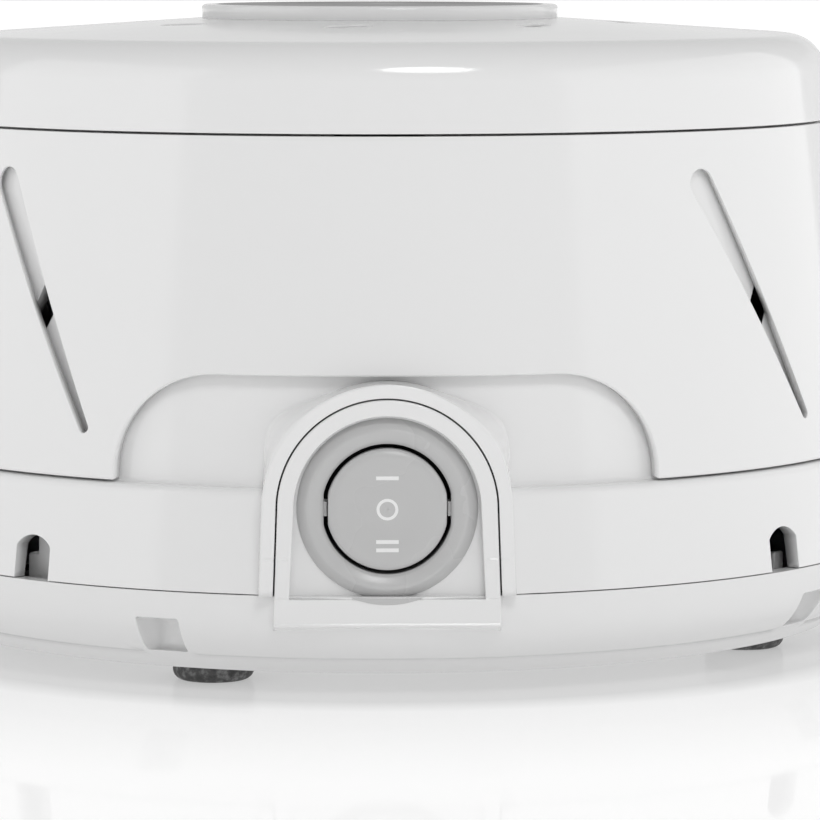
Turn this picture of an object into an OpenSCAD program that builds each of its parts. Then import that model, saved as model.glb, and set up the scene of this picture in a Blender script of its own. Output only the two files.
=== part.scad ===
// White noise sound machine: a small fan turns in a slotted drum, and a slotted
// collar and a vented cap turn on that drum to open or close the sound slots.
// Origin: on the floor, at the middle of the four feet. +Z is up and the switch
// faces -Y. All lengths are in millimetres, all angles in degrees.

/* [Body] */
// Radius of the body at the line between base and housing
body_r = 71; // [68:0.5:78]
// Radius lost for each millimetre of height
taper = 0.125; // [0.1:0.005:0.14]
// Wall of the base and of the housing
wall = 2.2; // [1.8:0.1:2.6]
// Gap where two fixed mouldings meet
seam = 0.2; // [0.15:0.05:0.3]
// Gap between mouldings that turn on each other
run_gap = 0.3; // [0.25:0.05:0.4]

/* [Heights] */
// Height of the feet below the base
foot_h = 2.8; // [2:0.2:4]
// Height of the base, from its underside to the housing line
base_h = 10.9; // [10.5:0.1:12]
// Height of the full-width band of the housing
band_h = 13.5; // [13:0.1:15]
// Height of the turning collar
collar_h = 44.7; // [42:0.1:50]
// Height of the cap, from its edge to the foot of its disc
cap_h = 13.8; // [12.5:0.1:16]
// Height of the disc on the cap
disc_h = 1.9; // [1.4:0.1:2.6]

/* [Base] */
// How far the underside's edge lies inside the widest line
lip_inset = 6.4; // [6:0.2:9]
// Height of the rolled lower edge
lip_h = 2.1; // [1.6:0.1:2.4]
// Radius of the rounded flank
flank_r = 10; // [9.5:0.1:10.5]
// Thickness of the base's floor
floor_t = 2.2; // [1.8:0.1:2.6]
// Width of the pockets in the flank
notch_w = 5.6; // [4:0.2:8]
// Height of the pockets' roof above the underside
notch_top = 7.2; // [6:0.1:8]
// How far the pockets' back wall lies inside the widest line
notch_inset = 4.6; // [4:0.1:5.2]
// Radius of a rubber foot
foot_r = 5.4; // [4:0.1:6]
// How far the feet's middles lie inside the widest line
foot_inset = 16; // [14:0.5:21]
// Turn of the feet from the switch
foot_turn = -24.4; // [-30:0.1:-20]

/* [Collar] */
// Wall of the collar
collar_wall = 1.8; // [1.6:0.1:2.2]
// Gap between the collar and the drum inside it
drum_gap = 0.4; // [0.35:0.05:0.6]
// Half width of the front cut-out
cutout_half_w = 34.8; // [33:0.2:38]
// Height of the front cut-out
cutout_h = 14.1; // [13.7:0.1:16]
// Corner radius of the front cut-out
cutout_r = 13.2; // [10:0.2:13.5]
// Height of a sound slot
slot_h = 34; // [28:0.5:35]
// Height of a sound slot's lower tip above the collar's edge
slot_rise = 5.6; // [5:0.1:8]
// Sweep of a sound slot round the body
slot_sweep = 16.4; // [10:0.2:20]
// Width of a sound slot at its upper end
slot_w_top = 3.9; // [3:0.1:4.5]
// Width of a sound slot at its lower tip
slot_w_tip = 1.5; // [1:0.1:2.5]
// Turn of the collar's slots from the switch
slot_turn = 47.5; // [40:0.5:50]

/* [Drum] */
// Wall of the drum
drum_wall = 1.8; // [1.6:0.1:2.2]
// Width of the drum's slots, which cross the collar's
drum_slot_w = 3.1; // [2.4:0.1:3.6]
// Middle direction of the front pair of drum slots
drum_slot_turn = 3.65; // [0:0.05:5]
// Half of the angle between the front pair of drum slots
drum_slot_spread = 43.4; // [40:0.1:50]
// Thickness of the drum's deck
deck_t = 1.8; // [1.5:0.1:2.4]
// Number of vents in the cap and in the deck
vent_count = 8; // [6:1:10]

/* [Cap] */
// Wall of the cap
cap_wall = 2; // [1.6:0.1:2.4]
// Fall of the cone for each millimetre of radius
cone_fall = 0.066; // [0.04:0.002:0.09]
// Radius of the rounded shoulder
shoulder_r = 5.7; // [4.5:0.1:6.5]
// Radius of the disc
disc_r = 25.1; // [22:0.1:27]
// Rounding of the disc's upper edge
disc_round = 1; // [0.5:0.1:1.4]
// Width of the disc's rim, outside its plate
disc_rim = 2.1; // [1.6:0.1:3]
// Radius of the circle of vents
vent_circle_r = 34; // [32:0.5:38]
// Width of a vent
vent_w = 2.8; // [2:0.1:3.6]
// Length of a vent
vent_l = 6.4; // [5:0.1:9]

/* [Windows] */
// Width of a window in the band
window_w = 6.1; // [5:0.1:7]
// Height of a window's side above the housing line
window_side_h = 4.4; // [3:0.1:6]
// Rise of a window's arched top
window_rise = 1.5; // [1:0.1:2]
// Turn of the windows from the switch
window_turn = 3.9; // [0:0.1:6]

/* [Switch panel] */
// How far the flat panel lies inside the widest line
panel_inset = 0; // [0:0.1:0.4]
// Height of the switch above the housing line
switch_rise = 11.15; // [11:0.05:11.6]
// Radius of the panel's arched top
tab_r = 14.1; // [13.8:0.1:14.3]
// Widening of the panel for each millimetre down from its arch
panel_draft = 0.035; // [0:0.005:0.05]
// Thickness of the panel
tab_t = 3.2; // [2.8:0.1:3.6]
// Radius of the housing's boss round the panel
boss_r = 16.1; // [16:0.1:16.6]
// Radius of the recess that the bezel lies in
recess_r = 11.9; // [11.8:0.05:12.4]
// Depth of that recess
recess_d = 1.6; // [1.4:0.1:1.8]
// Height of the pad below the panel
pad_h = 3.9; // [3:0.1:4.5]

/* [Switch] */
// Radius of the bezel
bezel_r = 11.65; // [11.4:0.05:11.7]
// Thickness of the bezel
bezel_t = 1.3; // [1.1:0.1:1.4]
// Radius of the rocker's opening
opening_r = 8.4; // [8.35:0.05:8.5]
// Gap between the rocker and its opening
rocker_gap = 0.55; // [0.5:0.05:0.7]
// Depth of the flats on the sides of the opening and the rocker
side_flat = 0.25; // [0.1:0.05:0.3]
// Thickness of the rocker's face plate
rocker_t = 2.3; // [2:0.1:2.4]
// Distance from the rocker's face to its pivot
rocker_pivot_d = 3; // [2.8:0.1:3.1]
// Radius of the switch barrel
barrel_r = 10; // [9.8:0.05:10.2]
// Length of the switch barrel behind the bezel
barrel_l = 12.5; // [11:0.5:14]

/* [Motor and fan] */
// Radius of the motor's rotor
rotor_r = 12.6; // [11:0.1:13]
// Air gap between rotor and stator
air_gap = 0.4; // [0.3:0.05:0.5]
// Thickness of the lamination stack
stack_t = 12; // [10:0.5:13]
// Half width of the lamination stack
stack_half_w = 24; // [22:0.5:26]
// Radius of the motor shaft
shaft_r = 1.6; // [1.5:0.05:1.8]
// Radius of the fan
fan_r = 45; // [38:0.5:46]
// Height of the fan blades
blade_h = 20; // [14:0.5:22]
// Number of fan blades
blade_count = 9; // [7:1:11]

/* [Cord inlet] */
// Radius of the cord that the gland holds
cord_r = 2.7; // [2.4:0.1:3]
// Height of the gland above the housing line
gland_rise = 5; // [4.9:0.1:5.3]

/* [Hidden] */
$fn = 96;
fine = 0.01;              // makes a cut run past a face
quarter = 90;
beyond = body_r + 20;     // reaches past every outline

lip_r = body_r - lip_inset;
notch_r = body_r - notch_inset;
foot_circle_r = body_r - foot_inset;
panel_y = body_r - panel_inset;
rocker_r = opening_r - rocker_gap;
disc_plate_r = disc_r - disc_rim;

line_z = foot_h + base_h;
band_top = line_z + band_h;
collar_z0 = band_top + run_gap;
collar_z1 = collar_z0 + collar_h;
cap_z0 = collar_z1 + run_gap;
cone_z = cap_z0 + cap_h;

function shell_r(z) = body_r - (z - line_z) * taper;
function drum_r(z) = shell_r(z) - collar_wall - drum_gap;
function arc(c, r, a0, a1, n = 8) =
    [for (i = [0:n]) let (a = a0 + (a1 - a0) * i / n) [c[0] + r * cos(a), c[1] + r * sin(a)]];

// collar and drum
flange_t = 1.4;           // the collar's inner flange, which rides on the drum
flange_w = 5;
drum_top = collar_z1 - flange_t - run_gap;
deck_z1 = drum_top - 1.2;
deck_z0 = deck_z1 - deck_t;
slot_l = norm([slot_h, slot_sweep * PI / 180 * body_r * 0.95]);
slot_tilt = acos(slot_h / slot_l);
slot_mid_z = collar_z0 + slot_rise + slot_h / 2;

// cap pivot
hub_r = 9;
hub_z1 = drum_top;
hub_z0 = hub_z1 - 4.5;
pivot_r = 4;
pivot_clear = 0.06;
pivot_screw_r = 1.5;
washer_t = 1;
cap_boss_r = 6.5;
roof_z = cone_z - cap_wall;

// switch panel
switch_z = line_z + switch_rise;
ledge_z = line_z - 0.3;
panel_back_y = panel_y - tab_t;
bezel_face_y = panel_y - recess_d + bezel_t;
rocker_face_y = bezel_face_y - 0.1;
pivot_y = rocker_face_y - rocker_pivot_d;
barrel_back_y = panel_y - recess_d - barrel_l;
rocker_pin_r = 1.1;
mark_t = 0.25;
terminal_l = 7;
switch_base_l = 5;        // part of the switch's rear block behind the barrel
connector_l = 3;          // part of the lead's connector behind the blade
spade_w = 4.8;
spade_t = 0.8;
spade_step = 5.5;         // from one terminal to the next

// base and housing screws
post_circle_r = body_r - 13;
post_r = 3.6;
post_turns = [45, 135, 225, 315];
base_floor_z = foot_h + floor_t;
post_foot_z = base_floor_z + 2.2;
screw_r = 1.45;
screw_head_r = 2.7;
head_t = 1.8;
screw_pocket_d = 2.4;
post_screw_l = 14;
foot_stem_r = 2.4;
foot_pocket_r = 2.5;

// motor: the plate is screwed on lugs in the drum and the motor hangs under it
plate_z0 = band_top + 2.8;
plate_t = 2;
plate_r = drum_r(plate_z0 + plate_t) - drum_wall - 0.6;
plate_notch_y = barrel_back_y - switch_base_l - terminal_l - connector_l;
plate_notch_half_w = barrel_r + 3;
lug_turns = [70, 180, 290];
lug_circle_r = plate_r - 5.1;
lug_r = 3.4;
lug_h = 6;
stack_z1 = plate_z0 - 6;
stack_z0 = stack_z1 - stack_t;
stack_front_y = 18;
window_y0 = 17;
leg_y0 = 30;
leg_y1 = 40;
bracket_t = 1.5;
bracket_half_w = 9;
bracket_rise = 1.6;
bracket_pad = 4;          // half width of the strap's feet
bearing_r = 5.5;
bearing_h = 4;
tie_x = 19;
ear_x = 30;
grommet_r = 4;
grommet_t = 3.2;
ear_z = plate_z0 - grommet_t - bracket_t;
bobbin_clear = 0.2;
bobbin_t = 1;
bobbin_half_l = 12.5;
coil_t = 3.9;

// fan
fan_z0 = plate_z0 + plate_t + 3;
fan_disc_t = 1.6;
fan_hub_r = 6;
fan_hub_h = 12;
blade_t = 1.5;
blade_root_r = 20;
blade_curve_r = fan_r * 0.75;
shaft_z0 = stack_z0 - bracket_rise - bearing_h - 0.2;
shaft_z1 = fan_z0 + fan_hub_h + 2;

// ---- helpers -------------------------------------------------------------

// turns a child that faces -Y round the body
module turned(a) { rotate([0, 0, a]) children(); }

// extrudes an outline in X and Z, from y0 to y1 in front of the axis
module front(y0, y1) {
    translate([0, -y0, 0]) rotate([90, 0, 0]) linear_extrude(y1 - y0) children();
}

// a round-topped outline, standing on z0, whose sides widen downwards
module arch(r, z_mid, z0) {
    foot = r + (z_mid - z0) * panel_draft;
    intersection() {
        translate([0, z_mid]) circle(r);
        translate([-r, z0]) square([2 * r, z_mid - z0 + r]);
    }
    polygon([[-foot, z0], [foot, z0], [r, z_mid], [-r, z_mid]]);
}

// a tapering slot with round ends, centred on the middle of its length
module slot_outline(l, w_top, w_tip) {
    top = l / 2 - w_top / 2;
    tip = -l / 2 + w_tip / 2;
    translate([0, top]) circle(w_top / 2);
    translate([0, tip]) circle(w_tip / 2);
    polygon([[-w_top / 2, top], [w_top / 2, top], [w_tip / 2, tip], [-w_tip / 2, tip]]);
}

// cutter for one slanted slot in the collar (lean = 1) or the drum (lean = -1)
module slot_cut(a, lean, w_top, w_tip) {
    turned(a) front(drum_r(collar_z1) - drum_wall - 2, body_r + 1)
        translate([0, slot_mid_z]) rotate(lean * slot_tilt) slot_outline(slot_l, w_top, w_tip);
}

module ring(r_out, r_in, z0, z1) {
    translate([0, 0, z0]) difference() {
        cylinder(r = r_out, h = z1 - z0);
        translate([0, 0, -fine]) cylinder(r = r_in, h = z1 - z0 + 2 * fine);
    }
}

module rod(r, z0, z1) { translate([0, 0, z0]) cylinder(r = r, h = z1 - z0); }

// pan-head screw along +Z, with its head below z0
module screw_up(r, head_r, head, z0, l) {
    rod(r, z0, z0 + l);
    rod(head_r, z0 - head, z0);
}

// ---- base ----------------------------------------------------------------

flank_c = [body_r - flank_r, line_z - 0.5];
flank_a0 = -asin((flank_c[1] - foot_h - lip_h) / flank_r);
inner_a0 = -68;

module base_profile() {
    polygon(concat(
        [[0, foot_h], [lip_r, foot_h]],
        arc(flank_c, flank_r, flank_a0, 0, 10),
        [[body_r, line_z - seam / 2], [body_r - wall, line_z - seam / 2]],
        arc(flank_c, flank_r - wall, 0, inner_a0, 8),
        [[flank_c[0], base_floor_z], [0, base_floor_z]]));
}

// short ring that locates the housing, open at the windows, posts, boss and gland
spigot_h = 2.4;
spigot_t = 1.4;
spigot_gap = 0.25;
spigot_root = 2.7;        // how far it runs down the inside of the wall
spigot_step_z = line_z - 1.5;
spigot_gate_z = line_z - 1;
tab_w = 2.2;
tab_h = 2.1;

module spigot_profile() {
    r0 = body_r - wall - spigot_gap;
    r1 = r0 - spigot_h * taper;
    polygon([[r0 - spigot_t, line_z - spigot_root], [body_r - wall / 2, line_z - spigot_root],
        [body_r - wall / 2, spigot_step_z], [r0, spigot_step_z],
        [r1, line_z + spigot_h], [r1 - spigot_t, line_z + spigot_h]]);
}

// cutter that opens the ring over a width
module spigot_gate(half_w) {
    front(body_r - 12, body_r) translate([-half_w, spigot_gate_z]) square([2 * half_w, 2 * spigot_h]);
}

module base_spigot() {
    difference() {
        rotate_extrude() spigot_profile();
        for (k = [0:3]) turned(window_turn - 45 + k * quarter)
            spigot_gate(window_w / 2 + run_gap);
        spigot_gate(boss_r + 1.5);
        turned(180) spigot_gate(gland_r + 2 * run_gap);
        for (a = post_turns) turned(a) translate([0, 0, -run_gap]) spigot_gate(post_r / 2);
    }
    // low ribs that show in the windows
    for (k = [0:3]) turned(window_turn - 45 + k * quarter)
        front(body_r - wall - spigot_gap - spigot_t, body_r - wall - spigot_gap)
            translate([(1.2 - tab_w) / 2, spigot_step_z]) square([tab_w, line_z + tab_h - spigot_step_z]);
}

module foot_places() {
    for (k = [0:3]) turned(foot_turn + k * quarter) translate([0, -foot_circle_r, 0]) children();
}

module post_places() {
    for (a = post_turns) turned(a) translate([0, -post_circle_r, 0]) children();
}

notch_turns = [-24.8, 55.5, 155.2, 235.5];

module base_tray() {
    color("whitesmoke") difference() {
        union() {
            rotate_extrude() base_profile();
            base_spigot();
            // switch panel and the pad below it
            front(panel_back_y, panel_y) arch(tab_r, switch_z, line_z - pad_h);
            // seats for the screws and feet
            post_places() rod(post_r + 1.2, foot_h + 1, post_foot_z - seam);
            foot_places() rod(foot_pocket_r + 1.6, foot_h + 1, base_floor_z + 1.8);
        }
        front(panel_y - recess_d, panel_y + 1) arch(recess_r, switch_z, ledge_z);
        front(panel_back_y - 1, panel_y) translate([0, switch_z]) circle(barrel_r + 0.1);
        for (a = notch_turns) turned(a)
            front(notch_r, body_r + 2) translate([-notch_w / 2, foot_h + lip_h + 0.4])
                square([notch_w, notch_top - lip_h - 0.4]);
        post_places() {
            rod(screw_r + 0.3, 0, post_foot_z + 1);
            rod(screw_head_r + 0.4, foot_h - 1, foot_h + screw_pocket_d);
        }
        foot_places() rod(foot_pocket_r, foot_h - 1, base_floor_z + 0.6);
    }
}

module rubber_foot(k) {
    color("dimgray") turned(foot_turn + k * quarter) translate([0, -foot_circle_r, 0]) {
        rotate_extrude() polygon(concat(
            [[0, 0], [foot_r - 1.1, 0]],
            arc([foot_r - 1, 1], 1, -80, 0, 4),
            [[foot_r, foot_h], [foot_stem_r, foot_h],
             [foot_stem_r, base_floor_z + 0.4], [0, base_floor_z + 0.4]]));
    }
}

module housing_screws() {
    color("silver") post_places()
        screw_up(screw_r, screw_head_r, head_t, foot_h + screw_pocket_d, post_screw_l);
}

// ---- housing: band, drum and deck ----------------------------------------

band_round = 1;
module housing_profile() {
    z_step = band_top;
    r_step = shell_r(z_step);
    polygon(concat(
        [[shell_r(line_z + seam / 2), line_z + seam / 2]],
        arc([r_step - band_round, z_step - band_round], band_round, 0, quarter, 4),
        [[drum_r(z_step), z_step], [drum_r(drum_top), drum_top],
         [drum_r(drum_top) - drum_wall, drum_top],
         [drum_r(deck_z1) - drum_wall, deck_z1],
         [hub_r - fine, deck_z1], [hub_r - fine, deck_z0],
         [drum_r(deck_z0) - drum_wall, deck_z0],
         [drum_r(z_step) - drum_wall, z_step - wall],
         [shell_r(z_step) - wall, z_step - wall - 1],
         [shell_r(line_z + seam / 2) - wall, line_z + seam / 2]]));
}

// wedge-shaped vents of the deck, which the cap covers or clears
deck_vent_r0 = 28;
deck_vent_r1 = 41;
module deck_vent_cuts() {
    step = 360 / vent_count;
    difference() {
        for (k = [0:vent_count - 1]) turned(vent_turn + k * step)
            translate([0, 0, deck_z0 - 1]) linear_extrude(deck_t + 2)
                polygon([[0, 0], [-sin(step / 4), -cos(step / 4)] * beyond,
                    [sin(step / 4), -cos(step / 4)] * beyond]);
        rod(deck_vent_r0, deck_z0 - 2, deck_z1 + 2);
        ring(2 * beyond, deck_vent_r1, deck_z0 - 2, deck_z1 + 2);
    }
}
vent_turn = -8;

drum_slot_turns = [for (h = [0, 180], s = [-1, 1]) drum_slot_turn + h + s * drum_slot_spread];

// slot in the deck for the cap's stop peg
stop_r = drum_r(deck_z0) - drum_wall - 10.3;
stop_peg_r = 1.5;
cap_travel = 20;
module stop_slot() {
    difference() {
        translate([0, 0, deck_z0 - 1]) linear_extrude(deck_t + 2)
            polygon(concat([[0, 0]], [for (i = [-3:3]) let (a = quarter + i / 3 * (cap_travel + 2.6))
                [cos(a), sin(a)] * beyond]));
        rod(stop_r - stop_peg_r - 0.5, deck_z0 - 2, deck_z1 + 2);
        ring(2 * beyond, stop_r + stop_peg_r + 0.5, deck_z0 - 2, deck_z1 + 2);
    }
}

module window_cuts() {
    dome_r = (pow(window_w / 2, 2) + pow(window_rise, 2)) / (2 * window_rise);
    for (k = [0:3]) turned(window_turn - 45 + k * quarter) front(body_r - 9, body_r + 1) {
        translate([-window_w / 2, line_z - 1]) square([window_w, window_side_h + 1]);
        intersection() {
            translate([0, line_z + window_side_h + window_rise - dome_r]) circle(dome_r);
            translate([-window_w / 2, line_z]) square([window_w, 20]);
        }
    }
}

module housing() {
    color("whitesmoke") difference() {
        union() {
            rotate_extrude() housing_profile();
            rod(hub_r, hub_z0, hub_z1);
            // boss round the switch panel
            front(drum_r(band_top) - drum_wall - 2, panel_y)
                arch(boss_r, switch_z, line_z + seam / 2);
            // screw posts, each on a rib from the band
            intersection() {
                union() {
                    post_places() rod(post_r, post_foot_z, band_top - 1);
                    for (a = post_turns) turned(a) front(post_circle_r, body_r)
                        translate([-1.2, line_z + seam / 2]) square([2.4, band_h - 1 - seam / 2]);
                }
                rod(body_r - wall / 2 - band_h * taper, 0, band_top);
            }
            // lugs that carry the motor plate
            intersection() {
                for (a = lug_turns) turned(a) {
                    translate([0, -lug_circle_r, 0]) rod(lug_r, plate_z0 - lug_h, plate_z0);
                    front(lug_circle_r, body_r) translate([-lug_r, plate_z0 - lug_h])
                        square([2 * lug_r, lug_h]);
                }
                rod(drum_r(plate_z0) - drum_wall / 2, 0, plate_z0);
            }
        }
        front(drum_r(band_top) - drum_wall - 3, panel_y + 1)
            arch(tab_r + seam, switch_z, line_z - 1);
        for (a = drum_slot_turns) slot_cut(a, -1, drum_slot_w, drum_slot_w);
        deck_vent_cuts();
        stop_slot();
        window_cuts();
        rod(pivot_r + pivot_clear, hub_z0 - 1, hub_z1 + 1);
        post_places() rod(screw_r + 0.05, post_foot_z - 1, foot_h + screw_pocket_d + post_screw_l + 0.5);
        for (a = lug_turns) turned(a) translate([0, -lug_circle_r, 0])
            rod(screw_r + 0.05, plate_z0 - lug_h + 0.8, plate_z0 + 1);
        turned(180) front(body_r / 2, body_r + 1) arch(gland_neck_r + 0.1, gland_z, line_z - 1);
    }
}

// ---- cord gland at the rear ----------------------------------------------

gland_z = line_z + gland_rise;
gland_neck_r = cord_r + 1.4;
gland_r = cord_r + 2.3;
gland_seat_y = shell_r(gland_z) - 0.3;
gland_grip = 3.4;
gland_collar_t = 2.5;

// grommet in a round-topped notch of the band, held down by the base's edge
module cord_gland() {
    inner_y = gland_seat_y - wall - gland_grip;
    color("dimgray") turned(180) difference() {
        union() {
            front(inner_y, body_r) arch(gland_neck_r, gland_z, line_z - seam / 2);
            // inner collar, behind the band
            front(inner_y, inner_y + gland_collar_t) arch(gland_r, gland_z, line_z - seam / 2);
        }
        front(inner_y - 1, body_r + 1) translate([0, gland_z]) circle(cord_r + 0.1);
    }
}

// ---- motor plate ---------------------------------------------------------

module motor_plate() {
    color("gainsboro") difference() {
        rod(plate_r, plate_z0, plate_z0 + plate_t);
        rod(bearing_r + 2.5, plate_z0 - 1, plate_z0 + plate_t + 1);
        translate([-plate_notch_half_w, -plate_r - 1, plate_z0 - 1])
            cube([2 * plate_notch_half_w, plate_r + 1 - plate_notch_y, plate_t + 2]);
        for (a = lug_turns) turned(a) translate([0, -lug_circle_r, 0])
            rod(screw_r + 0.3, plate_z0 - 1, plate_z0 + plate_t + 1);
        for (s = [-1, 1]) translate([s * ear_x, 0, 0])
            rod(screw_r + 0.05, plate_z0 - 1, plate_z0 + plate_t + 1);
    }
}

module plate_screws() {
    color("silver") for (a = lug_turns) turned(a) translate([0, -lug_circle_r, plate_z0 + plate_t])
        rotate([180, 0, 0]) screw_up(screw_r, screw_head_r, head_t, 0, 6.5);
}

// ---- motor ---------------------------------------------------------------

pole_turn = 40;
module stack_outline() {
    difference() {
        translate([-stack_half_w, -stack_front_y]) square([2 * stack_half_w, stack_front_y + leg_y1]);
        circle(rotor_r + air_gap);
        translate([-stack_half_w + 7, window_y0]) square([2 * stack_half_w - 14, leg_y0 - window_y0]);
        // pole slits for the shading rings
        for (s = [-1, 1]) rotate(s * pole_turn) translate([s * (rotor_r + air_gap) - 1.5, -0.9])
            square([4.5, 1.8]);
        for (s = [-1, 1]) translate([s * tie_x, 0]) circle(screw_r + 0.1);
    }
}

module stator_stack() {
    color("slategray") translate([0, 0, stack_z0]) linear_extrude(stack_t) stack_outline();
}

// copper bars through the pole slits, which stand out of both faces of the stack
shade_w = 1.4;
module shading_rings() {
    color("peru") for (s = [-1, 1]) rotate([0, 0, s * pole_turn])
        translate([s * (rotor_r + air_gap + 0.8) - shade_w / 2, -shade_w / 2, stack_z0 - 1.3])
            cube([shade_w, shade_w, stack_t + 2.6]);
}

coil_y = (leg_y0 + leg_y1) / 2;
coil_z = (stack_z0 + stack_z1) / 2;
leg_half_y = (leg_y1 - leg_y0) / 2 + bobbin_clear;
leg_half_z = stack_t / 2 + bobbin_clear;

// a rectangular sleeve round the coil leg, its wall between two offsets
module sleeve(half_l, o_in, o_out) {
    translate([0, coil_y, coil_z]) difference() {
        translate([-half_l, -leg_half_y - o_out, -leg_half_z - o_out])
            cube([2 * half_l, 2 * (leg_half_y + o_out), 2 * (leg_half_z + o_out)]);
        translate([-half_l - 1, -leg_half_y - o_in, -leg_half_z - o_in])
            cube([2 * half_l + 2, 2 * (leg_half_y + o_in), 2 * (leg_half_z + o_in)]);
    }
}

module bobbin() {
    color("ivory") {
        sleeve(bobbin_half_l, 0, bobbin_t);
        for (s = [-1, 1]) translate([s * (bobbin_half_l - bobbin_t / 2), 0, 0])
            sleeve(bobbin_t / 2, 0, bobbin_t + coil_t + 0.4);
    }
}

module coil() {
    color("chocolate") sleeve(bobbin_half_l - bobbin_t, bobbin_t, bobbin_t + coil_t);
}

// cranked strap that carries a bearing; dir = 1 above the stack, -1 below it
module bracket(z_face, dir) {
    step_x = tie_x - bracket_pad;
    translate([0, 0, z_face]) mirror([0, 0, dir < 0 ? 1 : 0]) difference() {
        union() {
            for (s = [-1, 1]) {
                translate([s * tie_x - bracket_pad, -bracket_half_w, 0])
                    cube([2 * bracket_pad, 2 * bracket_half_w, bracket_t]);
                translate([s > 0 ? step_x - bracket_t : -step_x, -bracket_half_w, 0])
                    cube([bracket_t, 2 * bracket_half_w, bracket_rise + bracket_t]);
            }
            translate([-step_x, -bracket_half_w, bracket_rise])
                cube([2 * step_x, 2 * bracket_half_w, bracket_t]);
            rod(bearing_r + 1.2, bracket_rise, bracket_rise + bearing_h);
        }
        rod(bearing_r, bracket_rise - 1, bracket_rise + bearing_h + 1);
        for (s = [-1, 1]) translate([s * tie_x, 0, 0]) rod(screw_r + 0.1, -1, bracket_t + 1);
    }
}

module upper_bracket() {
    color("silver") difference() {
        union() {
            bracket(stack_z1, 1);
            // ears that hang from the grommets
            for (s = [-1, 1]) translate([s > 0 ? tie_x + 2 : -ear_x - 5, -6, ear_z])
                cube([ear_x + 3 - tie_x, 12, bracket_t]);
            for (s = [-1, 1]) translate([s > 0 ? tie_x + 2 : -tie_x - bracket_pad, -6, stack_z1])
                cube([bracket_pad - 2, 12, ear_z + bracket_t - stack_z1]);
        }
        for (s = [-1, 1]) translate([s * ear_x, 0, 0]) rod(screw_r + 0.3, ear_z - 1, ear_z + bracket_t + 1);
        for (s = [-1, 1]) translate([s * tie_x, 0, 0]) rod(screw_r + 0.1, stack_z1 - 1, plate_z0);
    }
}

module lower_bracket() { color("silver") bracket(stack_z0, -1); }

module bearing(z0) {
    color("goldenrod") difference() {
        rod(bearing_r - 0.02, z0, z0 + bearing_h);
        rod(shaft_r + 0.03, z0 - 1, z0 + bearing_h + 1);
    }
}
module upper_bearing() { bearing(stack_z1 + bracket_rise); }
module lower_bearing() { bearing(stack_z0 - bracket_rise - bearing_h); }

// long screws that clamp both brackets on the stack
module bracket_screws() {
    color("silver") for (s = [-1, 1]) translate([s * tie_x, 0, 0]) {
        screw_up(screw_r, screw_head_r, head_t, stack_z0 - bracket_t, stack_t + 2 * bracket_t + 1);
    }
}

module motor_grommet(s) {
    color("dimgray") translate([s * ear_x, 0, 0])
        ring(grommet_r, screw_r + 0.1, ear_z + bracket_t, plate_z0);
}

module motor_screws() {
    color("silver") for (s = [-1, 1]) translate([s * ear_x, 0, 0])
        screw_up(screw_r, screw_head_r, head_t, ear_z, bracket_t + grommet_t + plate_t + 1);
}

module shaft() { color("silver") rod(shaft_r, shaft_z0, shaft_z1); }

module rotor_core() {
    color("slategray") ring(rotor_r, shaft_r + 0.02, stack_z0, stack_z1);
}

module thrust_washer() {
    color("ivory") ring(3.4, shaft_r + 0.05, stack_z1 + 0.1, stack_z1 + bracket_rise - 0.2);
}

// ---- fan -----------------------------------------------------------------

fan_dish_z = fan_z0 + fan_disc_t;

// backward-curved blade: a quarter of a thin ring that runs out past the rim
module fan_blade() {
    translate([blade_root_r * 0.4, -fan_r * 0.55, 0]) intersection() {
        ring(blade_curve_r, blade_curve_r - blade_t, fan_z0 + fan_disc_t / 2, fan_dish_z + blade_h);
        translate([0, 0, fan_z0]) cube([blade_curve_r, blade_curve_r, fan_disc_t + blade_h + 1]);
    }
}

module fan_wheel() {
    color("lightgray") difference() {
        union() {
            rod(fan_r, fan_z0, fan_dish_z);
            rod(fan_hub_r, fan_z0, fan_z0 + fan_hub_h);
            intersection() {
                for (k = [0:blade_count - 1]) rotate([0, 0, k * 360 / blade_count]) fan_blade();
                ring(fan_r, blade_root_r, fan_z0, fan_dish_z + blade_h);
            }
        }
        rod(shaft_r + 0.02, fan_z0 - 1, fan_z0 + fan_hub_h + 1);
    }
}

// spring clip on the shaft, above the fan's hub
clip_r = 3.2;
clip_t = 0.7;
module fan_clip() {
    z0 = fan_z0 + fan_hub_h;
    color("silver") difference() {
        ring(clip_r, shaft_r + 0.02, z0, z0 + clip_t);
        translate([-0.6, 0, z0 - 1]) cube([1.2, clip_r + 1, clip_t + 2]);
    }
}

// ---- switch --------------------------------------------------------------

// a circle with a flat on each side
module flat_sided(r) {
    intersection() {
        circle(r);
        translate([side_flat - r, -r]) square([2 * (r - side_flat), 2 * r]);
    }
}

module switch_bezel() {
    color("silver") difference() {
        union() {
            front(panel_y - recess_d, bezel_face_y) translate([0, switch_z]) intersection() {
                circle(bezel_r);
                translate([-bezel_r, ledge_z - switch_z + 0.05]) square([2 * bezel_r, 3 * bezel_r]);
            }
            front(barrel_back_y, panel_y - recess_d) translate([0, switch_z]) circle(barrel_r);
            // snap wings behind the panel
            for (s = [-1, 1]) front(panel_back_y - 4, panel_back_y - 0.1)
                translate([-2.5, switch_z + s * (barrel_r + 0.35) - 0.65]) square([5, 1.3]);
        }
        front(barrel_back_y - 1, panel_y) translate([0, switch_z]) flat_sided(opening_r);
        // pivot holes of the rocker
        translate([-opening_r - 1.1, -pivot_y, switch_z]) rotate([0, quarter, 0])
            cylinder(r = rocker_pin_r + 0.07, h = 2 * opening_r + 2.2);
    }
}

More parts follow.
